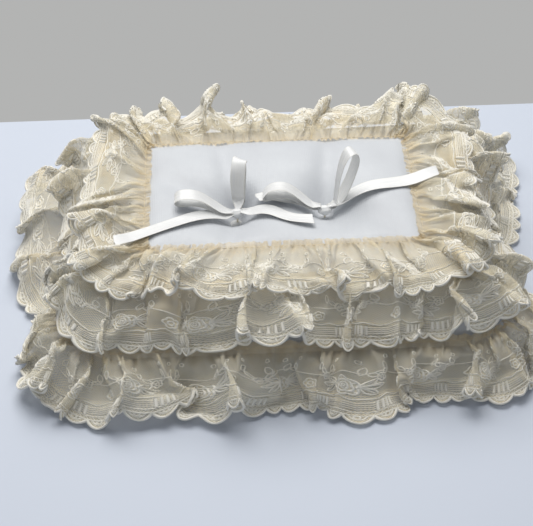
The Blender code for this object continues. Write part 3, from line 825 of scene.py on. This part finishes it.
def repeatLines(width):
    # Every cord in one repeat as (points, radius), measured along and across the strip.
    repeat, edge, cord = motif["repeat"], edgeLine(width), motif["cord"]
    pitch = repeat / motif["scallops"]
    lines = []

    def add(points, thickness):
        lines.append((points, cord * thickness))

    def run(steps, level, thickness, wave=0.0, waves=1.0, start=0.0):
        # a line along the whole repeat, straight or waved
        add([(repeat * s / steps, edge - level + wave * math.sin(2 * math.pi * s / waves + start))
             for s in range(steps + 1)], thickness)

    for scallop in range(motif["scallops"]):
        start = scallop * pitch
        add([(start + pitch * s / 9, edge + scallopAt(s / 9) - cord) for s in range(10)], 1.25)
        add([(start + pitch * (0.2 + 0.6 * s / 6), edge - 0.0008 + 0.55 * scallopAt(s / 6))
             for s in range(7)], 0.85)
        add(petals((start + pitch / 2, edge + 0.0004), 0.0013, 3, 0.3, 7), 0.8)
    run(16, 0.0008, 0.95)
    run(16, 0.0036, 0.7)
    add([(repeat * s / 44, edge - (0.0011 if s % 2 else 0.0033)) for s in range(45)], 0.5)
    for middle in motif["sideFlowers"]:
        for bar in (-1.5, -0.5, 0.5, 1.5):
            add([(middle + bar * 0.0023, edge - level) for level in (0.0042, 0.0075, 0.0108)], 1.15)
    run(24, 0.0125, 0.7, 0.0007, 4)
    rose = (repeat / 2, edge - motif["roseInward"])
    roseRings = ((1.0, 5, 0.24, 40, 0.0), (0.66, 4, 0.22, 28, 0.6), (0.36, 3, 0.25, 15, 0.2))
    for radius, count, depth, steps, turn in roseRings:
        add(petals(rose, motif["roseRadius"] * radius, count, depth, steps, turn), 0.95)
    add(petals(rose, 0.0009, 1, 0.0, 6), 1.0)
    for side in (-1, 1):
        root = (rose[0] + side * 0.0060, rose[1] - 0.0008)
        for lean, length in ((0.75, 0.0088), (0.05, 0.0100), (-0.65, 0.0084)):
            angle = lean if side > 0 else math.pi - lean
            add(leaf(root, angle, length, 0.0017), 0.75)
            add([root, onward(root, angle, 0.8 * length)], 0.6)
    for level in (0.0056, 0.0070, 0.0084, 0.0098):
        run(12, level, 0.42)
    for turn in range(10):
        reach = ((0.42, 0.62), (0.70, 0.92))[turn % 2]
        add([onward(rose, 2 * math.pi * turn / 10, motif["roseRadius"] * r) for r in reach], 0.7)
    for at in motif["sideFlowers"]:
        flower = (at, edge - 0.0265)
        add(petals(flower, 0.0029, 5, 0.3, 20), 0.8)
        add(petals(flower, 0.0012, 3, 0.2, 6), 0.8)
        for lean in (-2.5, -0.64):
            add(leaf(onward(flower, lean, 0.0024), lean, 0.0062, 0.0014), 0.65)
    bud = (repeat, edge - motif["budInward"])
    add(petals(bud, 0.0041, 5, 0.28, 25), 0.85)
    add(petals(bud, 0.0017, 3, 0.25, 9, 0.4), 0.8)
    run(26, 0.0285, 0.7, 0.0030, 26, 0.8)
    for at, lean in ((0.006, 1.2), (0.021, 1.9), (0.037, 1.25), (0.053, 1.85)):
        add(leaf((at, edge - 0.0300), -lean, 0.0072, 0.0016), 0.6)
        add(petals((at, edge - 0.0410), 0.0016, 4, 0.3, 9), 0.6)
    return lines


def patternMesh(width):
    points, edges, radii = [], [], []
    for line, radius in repeatLines(width):
        first = len(points)
        points += [(along, across, 0.0) for along, across in line]
        radii += [radius] * len(line)
        edges += [(first + i, first + i + 1) for i in range(len(line) - 1)]
    mesh = bpy.data.meshes.new("laceRepeat")
    mesh.from_pydata(points, edges, [])
    mesh.attributes.new("thick", "FLOAT", "POINT").data.foreach_set("value", radii)
    piece = bpy.data.objects.new("laceRepeat", mesh)
    scene.collection.objects.link(piece)
    return piece


def newTree(name, sizes):
    # A geometry tree with a geometry output and named inputs, given as name: (socket kind, value).
    tree = bpy.data.node_groups.new(name, "GeometryNodeTree")
    tree.interface.new_socket("Geometry", in_out="INPUT", socket_type="NodeSocketGeometry")
    tree.interface.new_socket("Geometry", in_out="OUTPUT", socket_type="NodeSocketGeometry")
    for key, (kind, value) in sizes.items():
        socket = tree.interface.new_socket(key, in_out="INPUT", socket_type=f"NodeSocket{kind}")
        if kind in ("Float", "Int"):
            socket.default_value = value
    return tree, node(tree, "NodeGroupInput"), node(tree, "NodeGroupOutput")


def grow(name, tree, sizes, material):
    # Runs a geometry tree on an empty mesh and keeps the result as a plain mesh piece.
    piece = addMesh(name, np.zeros((0, 3)), [], material)
    modifier = piece.modifiers.new("grow", "NODES")
    modifier.node_group = tree
    sockets = {item.name: item.identifier for item in tree.interface.items_tree if item.in_out == "INPUT"}
    for key, (_, value) in sizes.items():
        modifier[sockets[key]] = value
    return applied(piece)


def attributeNode(tree, name, kind):
    return node(tree, "GeometryNodeInputNamedAttribute", {"Name": name}, data_type=kind).outputs[0]


def shapeOf(tree, source):
    return node(tree, "GeometryNodeObjectInfo", {"Object": source}).outputs["Geometry"]


def vectorOf(tree, x=0.0, y=0.0, z=0.0):
    return node(tree, "ShaderNodeCombineXYZ", {0: x, 1: y, 2: z}).outputs[0]


def realized(tree, shape):
    return node(tree, "GeometryNodeRealizeInstances", {"Geometry": shape}).outputs[0]


def finished(tree, shape, entry, leave):
    settings = {"Geometry": realized(tree, shape), "Material": entry.outputs["Finish"]}
    tree.links.new(node(tree, "GeometryNodeSetMaterial", settings).outputs[0], leave.inputs[0])
    return tree


def scaledBy(tree, vector, scale):
    scaled = node(tree, "ShaderNodeVectorMath", {0: vector}, operation="SCALE")
    tree.links.new(scale, scaled.inputs["Scale"])
    return scaled.outputs[0]


def wrapTree(name, sizes):
    # Repeats a flat pattern of lines along a strip, gives the lines their thickness, and carries every point
    # from its flat place to the same place on the hung strip.
    tree, entry, leave = newTree(name, sizes)
    size = entry.outputs
    line = {"Count": size["Count"], "Offset": vectorOf(tree, size["Repeat"])}
    starts = node(tree, "GeometryNodeMeshLine", line).outputs[0]
    copied = {"Points": starts, "Instance": shapeOf(tree, size["Pattern"])}
    lines = realized(tree, node(tree, "GeometryNodeInstanceOnPoints", copied).outputs[0])
    curves = node(tree, "GeometryNodeMeshToCurve", {"Mesh": lines}).outputs[0]
    circular = {"Resolution": size["Sides"], "Radius": 1.0}
    circle = node(tree, "GeometryNodeCurvePrimitiveCircle", circular).outputs[0]
    swept = {"Curve": curves, "Profile Curve": circle, "Scale": attributeNode(tree, "thick", "FLOAT")}
    tubes = node(tree, "GeometryNodeCurveToMesh", swept).outputs[0]
    position = node(tree, "GeometryNodeInputPosition").outputs[0]
    flat = node(tree, "ShaderNodeSeparateXYZ", {0: position}).outputs
    inLength = {"Value": flat[0], "Min": 0.00001, "Max": size["Longest"]}
    along = node(tree, "ShaderNodeClamp", inLength).outputs[0]
    at = vectorOf(tree, along, sumsIn(tree).least(flat[1], size["Widest"]))
    # triangles a millimetre wide are too small for the search
    lay = attributeNode(tree, "lay", "FLOAT_VECTOR")
    larger = [scaledBy(tree, place, size["Enlarge"]) for place in (lay, at)]
    found = []
    for value in (position, attributeNode(tree, "outward", "FLOAT_VECTOR")):
        sample = node(tree, "GeometryNodeSampleUVSurface", data_type="FLOAT_VECTOR")
        for socket, source in zip(sample.inputs, (shapeOf(tree, size["Strip"]), value, *larger)):
            tree.links.new(source, socket)
        found.append(sample.outputs[0])
    off = node(tree, "ShaderNodeVectorMath", {0: found[1]}, operation="NORMALIZE").outputs[0]
    raised = scaledBy(tree, off, sumsIn(tree).times(flat[2], size["Relief"]))
    placeAt = node(tree, "ShaderNodeVectorMath", {0: found[0], 1: raised}, operation="ADD").outputs[0]
    wrapped = node(tree, "GeometryNodeSetPosition", {"Geometry": tubes, "Position": placeAt}).outputs[0]
    return finished(tree, wrapped, entry, leave)


def laceCords(name, strip, pattern, length, material):
    sizes = {
        "Pattern": ("Object", pattern),
        "Strip": ("Object", strip),
        "Repeat": ("Float", motif["repeat"]),
        "Count": ("Int", round(length / motif["repeat"])),
        "Sides": ("Int", motif["sides"]),
        "Relief": ("Float", 1.25),
        "Enlarge": ("Float", 10.0),
        "Longest": ("Float", length - 0.00001),  # just inside the strip, so that every point is found
        "Widest": ("Float", tiers[name]["width"] - 0.00001),
        "Finish": ("Material", material),
    }
    return grow(f"{name}_lace_cords", wrapTree(f"{name}LaceWork", sizes), sizes, material)


# --- stitches: short rounded threads placed one after another along a line ---

stitches = {"radius": 0.00026, "sides": 6, "lift": 0.0006}


def stitchTree(name, sizes):
    # Running stitches along a path: each dips into the cloth at both ends.
    tree, entry, leave = newTree(name, sizes)
    size, sums = entry.outputs, sumsIn(tree)
    curve = node(tree, "GeometryNodeMeshToCurve", {"Mesh": shapeOf(tree, size["Path"])}).outputs[0]
    spaced = {"Curve": curve, "Length": size["Spacing"]}
    spots = node(tree, "GeometryNodeCurveToPoints", spaced, mode="LENGTH").outputs
    bow = {
        "Resolution": 5,
        "Start": vectorOf(tree, z=sums.times(size["Length"], -0.5)),
        "Middle": vectorOf(tree, sums.times(size["Radius"], 2.2)),
        "End": vectorOf(tree, z=sums.times(size["Length"], 0.5)),
    }
    arc = node(tree, "GeometryNodeCurveQuadraticBezier", bow).outputs[0]
    circular = {"Resolution": size["Sides"], "Radius": size["Radius"]}
    ring = node(tree, "GeometryNodeCurvePrimitiveCircle", circular).outputs[0]
    swept = {"Curve": arc, "Profile Curve": ring, "Fill Caps": True}
    strand = node(tree, "GeometryNodeCurveToMesh", swept).outputs[0]
    copied = {"Points": spots[0], "Instance": strand, "Rotation": spots[3]}
    copies = realized(tree, node(tree, "GeometryNodeInstanceOnPoints", copied).outputs[0])
    smooth = node(tree, "GeometryNodeSetShadeSmooth", {"Geometry": copies}).outputs[0]
    return finished(tree, smooth, entry, leave)


def stitchedLine(name, points, closed, material, length, spacing, radius=stitches["radius"]):
    count = len(points)
    mesh = bpy.data.meshes.new(f"{name}Path")
    edges = [(i, (i + 1) % count) for i in range(count if closed else count - 1)]
    mesh.from_pydata([tuple(p) for p in points], edges, [])
    path = bpy.data.objects.new(f"{name}Path", mesh)
    scene.collection.objects.link(path)
    sizes = {
        "Path": ("Object", path),
        "Length": ("Float", length),
        "Spacing": ("Float", spacing),
        "Radius": ("Float", radius),
        "Sides": ("Int", stitches["sides"]),
        "Finish": ("Material", material),
    }
    piece = grow(name, stitchTree(f"{name}Stitches", sizes), sizes, material)
    removeObject(path)
    return piece


# --- ribbons ---

ribbon = {
    "width": 0.010,
    "thickness": 0.00035,
    "cup": 0.0006,  # how far the edges curl off the flat
    "acrossSteps": 8,
    "knotLength": 0.0095,
    "knotGap": 0.0006,
    "insideKnot": 0.0024,  # from the tuft to where a ribbon starts, inside the knot
}
lowLoop = (
    (0.0, 0.0050), (0.012, 0.0060), (0.026, 0.0060), (0.037, 0.0064), (0.041, 0.0092),
    (0.036, 0.0124), (0.024, 0.0120), (0.011, 0.0092), (0.0, 0.0064),
)
tallLoop = (
    (0.0, 0.0050), (0.0008, 0.0100), (0.0024, 0.0155), (0.0068, 0.0200), (0.0130, 0.0205),
    (0.0165, 0.0175), (0.0150, 0.0130), (0.0100, 0.0092), (0.0030, 0.0056),
)
wideLoop = (
    (0.0, 0.0050), (0.0004, 0.0140), (0.0014, 0.0270), (0.0042, 0.0375), (0.0085, 0.0410),
    (0.0140, 0.0365), (0.0155, 0.0270), (0.0100, 0.0140), (0.0022, 0.0062),
)
loops = {  # side view, heading from the knot, scale, twist over the loop, turn of the two strands
    "left_bow_left_loop": (lowLoop, 179, 0.86, 0.25, (0.0, 0.0)),
    "left_bow_right_loop": (tallLoop, 78, 1.0, 0.15, (0.0, 0.7)),
    "right_bow_left_loop": (lowLoop, 178, 0.86, -0.25, (0.0, 0.0)),
    "right_bow_right_loop": (wideLoop, 32, 1.0, -0.15, (0.35, 0.1)),
}
tails = {  # heading, length from the knot
    "left_bow_left_tail": (206, 0.081),
    "left_bow_right_tail": (-24, 0.046),
    "right_bow_left_tail": (172, 0.039),
    "right_bow_right_tail": (17, 0.075),
}


def easedLine(points, steps):
    # A smooth line through points, as many steps between each two.
    points = [np.array(p, float) for p in points]
    full = [2 * points[0] - points[1]] + points + [2 * points[-1] - points[-2]]
    line = []
    for i in range(1, len(full) - 2):
        before, start, end, after = full[i - 1:i + 3]
        for step in range(steps):
            t = step / steps
            square = (2 * before - 5 * start + 4 * end - after) * t * t
            cube = (3 * start - before - 3 * end + after) * t ** 3
            line.append(0.5 * (2 * start + (end - before) * t + square + cube))
    line.append(full[-2])
    return np.array(line)


def ribbonStart(heading):
    lean = abs(math.sin(math.radians(heading)))
    return ribbon["knotLength"] / 2 + ribbon["knotGap"] + ribbon["width"] / 2 * lean


def coverUnder(x, y):
    return float(topHeight(np.float64(x), np.float64(y)))


def bowSide(name, heading):
    # The tuft that a loop or tail starts from, its direction, and the direction across it.
    tuft = tufts[0] if name.startswith("left") else tufts[1]
    ahead = np.array([math.cos(math.radians(heading)), math.sin(math.radians(heading))])
    return tuft, ahead, np.array([-ahead[1], ahead[0], 0.0])


def pinched(far):
    # Share of the ribbon's width at a distance from the tuft.
    share = clamp((far - 0.003) / 0.011, 0, 1)
    return float(0.42 + 0.58 * share * share * (3 - 2 * share))


def stripAlong(name, centre, sideways, cup, breadth, material, frayed=0.0, slant=0.0, seed=0):
    # A woven ribbon along a line of points, with its across direction at each, cupped a little and given its
    # thickness. Its UV is metres along and metres from the middle.
    centre, sideways = np.asarray(centre), np.asarray(sideways)
    ahead = np.gradient(centre, axis=0)
    ahead /= np.linalg.norm(ahead, axis=1)[:, None]
    sideways = sideways - ahead * np.sum(sideways * ahead, axis=1)[:, None]
    sideways /= np.linalg.norm(sideways, axis=1)[:, None]
    facing = np.cross(ahead, sideways)
    travelled = np.concatenate([[0], np.cumsum(np.linalg.norm(np.diff(centre, axis=0), axis=1))])
    steps, half = ribbon["acrossSteps"], ribbon["width"] / 2
    draw = random.Random(seed)
    points, uv = [], []
    for i in range(len(centre)):
        for step in range(steps + 1):
            share = 2 * step / steps - 1
            curl = cup[i] * share * share
            end = ahead[i] * (draw.uniform(-frayed, frayed) + slant * share) if i == len(centre) - 1 else 0
            points.append(centre[i] + sideways[i] * share * breadth[i] * half + facing[i] * curl + end)
            uv.append((travelled[i], share * half))
    faces = [(a, d, c, b) for a, b, c, d in gridFaces(len(centre) - 1, steps)]
    piece = addMesh(f"{name}_ribbon", points, faces, material)
    setUv(piece, [uv[i] for face in faces for i in face])
    solid = piece.modifiers.new("thickness", "SOLIDIFY")
    solid.thickness, solid.offset = ribbon["thickness"], 0
    finerBy(piece)
    applied(piece)
    return piece, float(travelled[-1])


def makeLoop(name, material):
    shape, heading, scale, twist, (turnOut, turnBack) = loops[name]
    tuft, ahead, side = bowSide(name, heading)
    out = ribbonStart(heading)
    line, across, cup, breadth = [], [], [], []
    inner = (ribbon["insideKnot"] - out) / scale
    shapePoints = easedLine([(inner, 0.0034)] + list(shape) + [(inner, 0.0052)], 7)
    for i, (distance, lift) in enumerate(shapePoints):
        far = out + distance * scale
        breadth.append(pinched(far))
        x, y = tuft[0] + far * ahead[0], tuft[1] + far * ahead[1]
        share = i / (len(shapePoints) - 1)
        sway = 0.0022 * math.sin(math.pi * share) * (1 if twist > 0 else -1)
        line.append([x - ahead[1] * sway, y + ahead[0] * sway, coverUnder(x, y) + lift])
        turn = twist * math.sin(2 * math.pi * share)
        up = np.array([ahead[0] * 0.5, ahead[1] * 0.5, 0.35]) * math.sin(turn)
        strand = turnOut + (turnBack - turnOut) * float(clamp((share - 0.4) / 0.2, 0, 1))
        across.append(side * math.cos(turn) + up + np.array([ahead[0], ahead[1], 0.0]) * strand)
        pinch = max(math.sin(math.pi * share), 0) ** 0.5
        cup.append(ribbon["cup"] * (2.4 - 2.1 * pinch) * (1 if share < 0.5 else -1))
    return stripAlong(name, line, across, cup, breadth, material)


def makeTail(name, ground, material):
    heading, length = tails[name]
    tuft, ahead, side = bowSide(name, heading)
    out = ribbon["insideKnot"]
    length += ribbonStart(heading) - out
    count = max(6, round(length / 0.0025))
    heights = []
    for i in range(count + 1):
        far = out + length * i / count
        best = 0
        for across in (-1, -0.5, 0, 0.5, 1):
            x = tuft[0] + far * ahead[0] - ahead[1] * across * ribbon["width"] / 2
            y = tuft[1] + far * ahead[1] + ahead[0] * across * ribbon["width"] / 2
            best = max(best, ground(x, y))
        heights.append(best)
    heights = np.array(heights)
    wide = np.array([heights[max(0, i - 2):i + 3].max() for i in range(count + 1)])
    padded = np.concatenate([[wide[0]] * 3, wide, [wide[-1]] * 3])
    weights = np.hanning(9)[1:-1]
    smooth = np.convolve(padded, weights / weights.sum(), "valid")
    line, across, cup, breadth = [], [], [], []
    for i in range(count + 1):
        share = i / count
        far = out + length * share
        breadth.append(pinched(far))
        wander = 0.0022 * math.sin(2.2 * math.pi * share) * share
        x = tuft[0] + far * ahead[0] - ahead[1] * wander
        y = tuft[1] + far * ahead[1] + ahead[0] * wander
        leaving = 0.0030 * max(0, 1 - i / 3)
        ripple = 0.0006 * (1 - math.cos(3 * math.pi * share))
        line.append([x, y, max(smooth[i], heights[i]) + 0.0009 + leaving + ripple])
        across.append(side + np.array([0, 0, 0.12 * math.sin(5 * share + heading)]))
        cup.append(ribbon["cup"] * (2.0 * max(0, 1 - 4 * share) + 0.35))
    frayed, slant = (0.0008, -0.0012) if length < 0.06 else (0.0002, 0.0022)
    return stripAlong(name, line, across, cup, breadth, material, frayed=frayed, slant=slant, seed=heading)


def makeKnot(name, material):
    # A tight knot: a small pleated bundle with one turn of ribbon wound across it.
    low, high = (np.array(corner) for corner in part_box(name))
    middle, half = (low + high) / 2, (high - low) / 2
    points, uv = [], []
    rings, around = 22, 30
    for i in range(rings + 1):
        polar = math.pi * i / rings
        end, girth = math.cos(polar), math.sin(polar)
        waist = 1 + 0.10 * math.exp(-(end / 0.34) ** 2) - 0.10 * math.exp(-((abs(end) - 0.5) / 0.12) ** 2)
        for j in range(around):
            turn = 2 * math.pi * j / around
            away = (1 + 0.085 * math.sin(5 * turn + 2.0 * end) * girth) * waist * 0.95
            x = abs(end) ** 0.75 * math.copysign(1, end) * 0.98
            y = float(clamp(girth ** 0.8 * math.cos(turn) * away, -1, 1))
            z = float(clamp(girth ** 0.8 * math.sin(turn) * away, -1, 1))
            points.append(middle + half * np.array([x, y, z]))
            uv.append((0.004 * turn, 0.0045 * end))
    piece = addMesh(f"{name}_tied", points, stripFaces(around, rings + 1), material)
    setUv(piece, [uv[i] for face in stripFaces(around, rings + 1) for i in face])
    finerBy(welded(piece, outward=True))
    return applied(piece)


# --- camera, from where the pillow is looked down at ---

view = {
    "target": (-0.0108, -0.0302, 0.030),
    "distance": 0.95,
    "azimuth": -1.7,
    "elevation": 40.9,
    "roll": -1.07,
    "lens": 96.1,
}


def makeCamera():
    azimuth, elevation, roll = (math.radians(view[key]) for key in ("azimuth", "elevation", "roll"))
    level = math.cos(elevation)
    back = Vector((math.sin(azimuth) * level, -math.cos(azimuth) * level, math.sin(elevation)))
    right = Vector((math.cos(azimuth), math.sin(azimuth), 0))
    up = back.cross(right)
    sideways = right * math.cos(roll) + up * math.sin(roll)
    upright = up * math.cos(roll) - right * math.sin(roll)
    place = Matrix((sideways, upright, back)).transposed().to_4x4()
    place.translation = Vector(view["target"]) + back * view["distance"]
    data = bpy.data.cameras.new("camera")
    data.lens, data.sensor_width = view["lens"], 36
    data.clip_start, data.clip_end = 0.01, 20
    camera = bpy.data.objects.new("camera", data)
    camera.matrix_world = place
    scene.collection.objects.link(camera)
    scene.camera = camera


makeCamera()
print("camera placed")


# --- the table, the room behind it and the light ---

room = {
    "floor": (0.565, 0.612, 0.702, 1),
    "shader": {"Roughness": 0.55},
    "reach": 4.0,
    "wall": (0.452, 0.455, 0.450, 1),
    "tableEdge": 0.187,
    "tableThickness": 0.03,
    "sky": (0.92, 0.955, 1.0, 1),
    "skyStrength": 0.33,
    "lamp": (1.0, 0.985, 0.96),
    "lampPower": 23.5,
    "lampSize": 1.3,
    "lampPlace": (-0.10, 0.60, 1.30),
    "frontPower": 0.15,
    "frontSize": 1.2,
    "frontPlace": (0.2, -1.6, 1.1),
}


def tableMaterial():
    made, tree, shader = newMaterial("paleTable", room)
    colour = room["floor"]
    darker = tuple(c * 0.97 for c in colour[:3]) + (1,)
    cloud = noise(tree, placeIn(tree), 3.0, 2.0)
    tree.links.new(blend(tree, cloud, darker, colour), shader.inputs["Base Color"])
    return made


def addLamp(name, place, power, size, aim=(0, 0, 0.03)):
    data = bpy.data.lights.new(name, "AREA")
    data.energy, data.size, data.color = power, size, room["lamp"]
    lamp = bpy.data.objects.new(name, data)
    lamp.location = place
    lamp.rotation_euler = (Vector(aim) - Vector(place)).to_track_quat("-Z", "Y").to_euler()
    scene.collection.objects.link(lamp)


def makeRoom():
    reach, edge, base = room["reach"], room["tableEdge"], -room["tableThickness"]
    corners = [(x, y, z) for x in (-reach, reach) for y in (-reach, edge) for z in (base, 0)]
    sides = [(0, 1, 3, 2), (4, 6, 7, 5), (0, 4, 5, 1), (2, 3, 7, 6), (1, 5, 7, 3), (0, 2, 6, 4)]
    table = addMesh("tabletop", corners, sides, tableMaterial())
    table.data.shade_flat()
    world = bpy.data.worlds.new("softSky")
    world.use_nodes = True
    tree = world.node_tree
    seen = node(tree, "ShaderNodeBackground", {"Color": room["wall"], "Strength": 1.0})
    lit = tree.nodes["Background"]
    lit.inputs[0].default_value = room["sky"]
    lit.inputs[1].default_value = room["skyStrength"]
    direct = node(tree, "ShaderNodeLightPath").outputs["Is Camera Ray"]
    both = node(tree, "ShaderNodeMixShader", {0: direct, 1: lit.outputs[0], 2: seen.outputs[0]}).outputs[0]
    tree.links.new(both, tree.nodes["World Output"].inputs[0])
    scene.world = world
    addLamp("overheadLamp", room["lampPlace"], room["lampPower"], room["lampSize"])
    addLamp("frontFill", room["frontPlace"], room["frontPower"], room["frontSize"])
    scene.view_settings.view_transform = "Standard"
    scene.view_settings.exposure = 0.0
    scene.cycles.transparent_max_bounces = 40
    scene.cycles.max_bounces = 8


makeRoom()
print("table and light set")


# --- cushion ---

satin, backing = satinMaterial(), backingMaterial()
thread, fibre = threadMaterial(), fibreMaterial()
folds = [  # soft creases in the panel: from, to, depth (negative sinks), breadth
    ((-0.029, -0.010), (-0.040, 0.057), -0.0030, 0.0080),
    ((0.029, -0.010), (0.036, 0.057), -0.0030, 0.0080),
    ((-0.033, -0.016), (-0.086, 0.020), -0.0030, 0.0095),
    ((-0.030, -0.020), (-0.036, -0.057), -0.0026, 0.0075),
    ((0.034, -0.018), (0.075, -0.045), -0.0009, 0.007),
    ((-0.022, -0.013), (0.022, -0.013), -0.0012, 0.006),
    ((-0.060, 0.050), (0.060, 0.046), 0.0008, 0.010),
    ((0.045, 0.0), (0.088, 0.030), 0.0008, 0.010),
]


def creases(points):
    total = np.zeros(len(points))
    for start, end, depth, breadth in folds:
        a, b = np.array(start), np.array(end)
        line = b - a
        share = clamp(((points[:, :2] - a) @ line) / (line @ line), 0, 1)
        away = np.linalg.norm(points[:, :2] - a - share[:, None] * line, axis=1)
        total += depth * np.exp(-(away / breadth) ** 2) * np.sin(math.pi * clamp(share, 0.12, 0.88)) ** 0.5
    return total


def makeCovers():
    points, faces, frontFaces, frontCount = puffCushion()
    inset = insetOf(points[:, 0], points[:, 1])
    panel = clamp((inset - cushion["panelInset"] + 0.002) / 0.006, 0, 1)
    points[:frontCount, 2] += (creases(points) * panel)[:frontCount]
    pieces = []
    for name, part, material in (
        ("front_cover_satin", faces[:frontFaces], satin),
        ("back_cover_cotton", faces[frontFaces:], backing),
    ):
        used = sorted({i for face in part for i in face})
        renumber = {old: new for new, old in enumerate(used)}
        piece = addMesh(name, points[used], [tuple(renumber[i] for i in face) for face in part], material)
        finerBy(piece).boundary_smooth = "PRESERVE_CORNERS"
        solid = piece.modifiers.new("thickness", "SOLIDIFY")
        solid.thickness, solid.offset = cushion["coverThickness"], -1
        pieces.append(applied(piece))
    return pieces


def makeFilling():
    # Loose polyester fibre: a lumpy body a little smaller than the covers.
    x, y, faces, rim = cushionGrid()
    x, y = x * 0.985, y * 0.98
    lumps = 0.0007 * (np.sin(x * 190 + 3 * np.sin(y * 120)) + np.sin(y * 230 + 2 * np.sin(x * 90)))
    top, base = cushionSides(x, y)
    top[:, 2] += lumps - 0.0032
    base[:, 2] += 0.0024 - lumps * 0.5
    level = (top[:, 2] + base[:, 2]) / 2
    top[:, 2] = np.where(rim, level, np.maximum(top[:, 2], level + 0.0002))
    base[:, 2] = np.where(rim, level, np.minimum(base[:, 2], level - 0.0002))
    return welded(addMesh("polyester_filling", np.vstack([top, base]), bothSides(faces, len(x)), fibre))


frontCover, backCover = makeCovers()
filling = makeFilling()
print("cushion made:", len(frontCover.data.polygons), "faces in the front cover")


# --- lace ---

net, cord = netMaterial(tiers["top"]["width"]), cordMaterial()
hung = dropLace()
laceLengths, laceNets, laceWork = {}, {}, {}
for tierName in tiers:
    laceNets[tierName], laceLengths[tierName] = laceSheet(tierName, hung[tierName], net)
    flatPattern = patternMesh(tiers[tierName]["width"])
    laceWork[tierName] = laceCords(tierName, laceNets[tierName], flatPattern, laceLengths[tierName], cord)
    removeObject(flatPattern)
    netFaces, cordFaces = (len(made[tierName].data.polygons) for made in (laceNets, laceWork))
    print(tierName, "lace:", netFaces, "net faces,", cordFaces, "cord faces")


# --- threads ---

def sewnLine(tierName):
    # The line of the gathering stitches, lying on the strip as it hangs.
    points, columns, rows, sewnRow = hung[tierName]
    line = points.reshape(rows, columns, 3)[sewnRow].copy()
    smooth = np.vstack([line[-3:], line, line[:3]])
    weights = np.ones(7) / 7
    line = np.stack([np.convolve(smooth[:, k], weights, "valid") for k in range(3)], 1)
    line[:, 2] += stitches["lift"]
    return line[::2]


threadPieces = []
for tierName in tiers:
    line = sewnLine(tierName)
    piece = stitchedLine(f"{tierName}_gathering", line, True, thread, length=0.0024, spacing=0.0036)
    threadPieces.append((piece, f"{tierName}_gather_thread"))

seam = {"out": 0.0006, "below": 0.0012, "points": 400}
seamLengths = ringSizes(seam["out"])[2]
seamSteps = np.linspace(0, seamLengths.sum(), seam["points"] + 1)[:-1]
seamRing = ringAt(seam["out"], sharesFromLength(seamLengths, seamSteps))
seamLine = np.column_stack([seamRing, np.full(seam["points"], cushion["seamHeight"] - seam["below"])])
seamPiece = stitchedLine("seam_stitching", seamLine, True, thread, 0.0021, 0.0027, radius=0.00024)
threadPieces.append((seamPiece, "seam_thread"))

closingLow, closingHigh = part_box("closing_stitches")
closingX = np.linspace(closingLow[0] + 0.002, closingHigh[0] - 0.002, 60)
closingY = (closingLow[1] + closingHigh[1]) / 2
closingZ = (closingLow[2] + closingHigh[2]) / 2 + 0.0007 * np.sin(np.linspace(0, 24 * math.pi, 60))
closingLine = np.column_stack([closingX, np.full(60, closingY), closingZ])
closing = stitchedLine("closing_slip_stitches", closingLine, False, thread, length=0.0030, spacing=0.0052)
threadPieces.append((closing, "closing_stitches"))
print("threads sewn")


# --- bows ---

ribbonSatin = ribbonMaterial()


def groundFinder():
    # The height of whatever lies uppermost under a point: the cover or the lace, as they were made.
    trees = []
    for piece in [frontCover] + [laceNets[name] for name in tiers]:
        mesh = bmesh.new()
        mesh.from_mesh(piece.data)
        trees.append(BVHTree.FromBMesh(mesh))
        mesh.free()

    def ground(x, y):
        best = 0.0
        for tree in trees:
            hit = tree.ray_cast(Vector((x, y, 0.3)), Vector((0, 0, -1)))[0]
            if hit is not None:
                best = max(best, hit.z)
        return best
    return ground


ground = groundFinder()
ribbonPieces = []
for knotName in ("left_bow_knot", "right_bow_knot"):
    ribbonPieces.append((makeKnot(knotName, ribbonSatin), knotName, None))
for loopName in loops:
    piece, length = makeLoop(loopName, ribbonSatin)
    ribbonPieces.append((piece, loopName, length))
for tailName in tails:
    piece, length = makeTail(tailName, ground, ribbonSatin)
    ribbonPieces.append((piece, tailName, length))
print("bows tied")


# --- the tuft threads keep their own shapes ---

for nodeName in ("left_tuft_thread", "right_tuft_thread"):
    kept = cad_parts[nodeName]
    for slotIndex in range(max(1, len(kept.material_slots))):
        if kept.material_slots:
            kept.material_slots[slotIndex].material = thread
        else:
            kept.data.materials.append(thread)


# --- every piece moves with the root, and the frame's part that it stands in for is hidden ---

for piece, nodeName, slotName in (
    (frontCover, "front_cover", "satin"),
    (backCover, "back_cover", "backing"),
    (filling, "fibre_filling", "filling"),
):
    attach(piece, "root")
    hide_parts(nodeName)
for tierName in tiers:
    strip, work = laceNets[tierName], laceWork[tierName]
    for piece in (strip, work):
        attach(piece, "root")
    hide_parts(f"{tierName}_lace_ruffle")
for piece, nodeName in threadPieces:
    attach(piece, "root")
    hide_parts(nodeName)
for piece, nodeName, length in ribbonPieces:
    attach(piece, "root")
    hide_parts(nodeName)
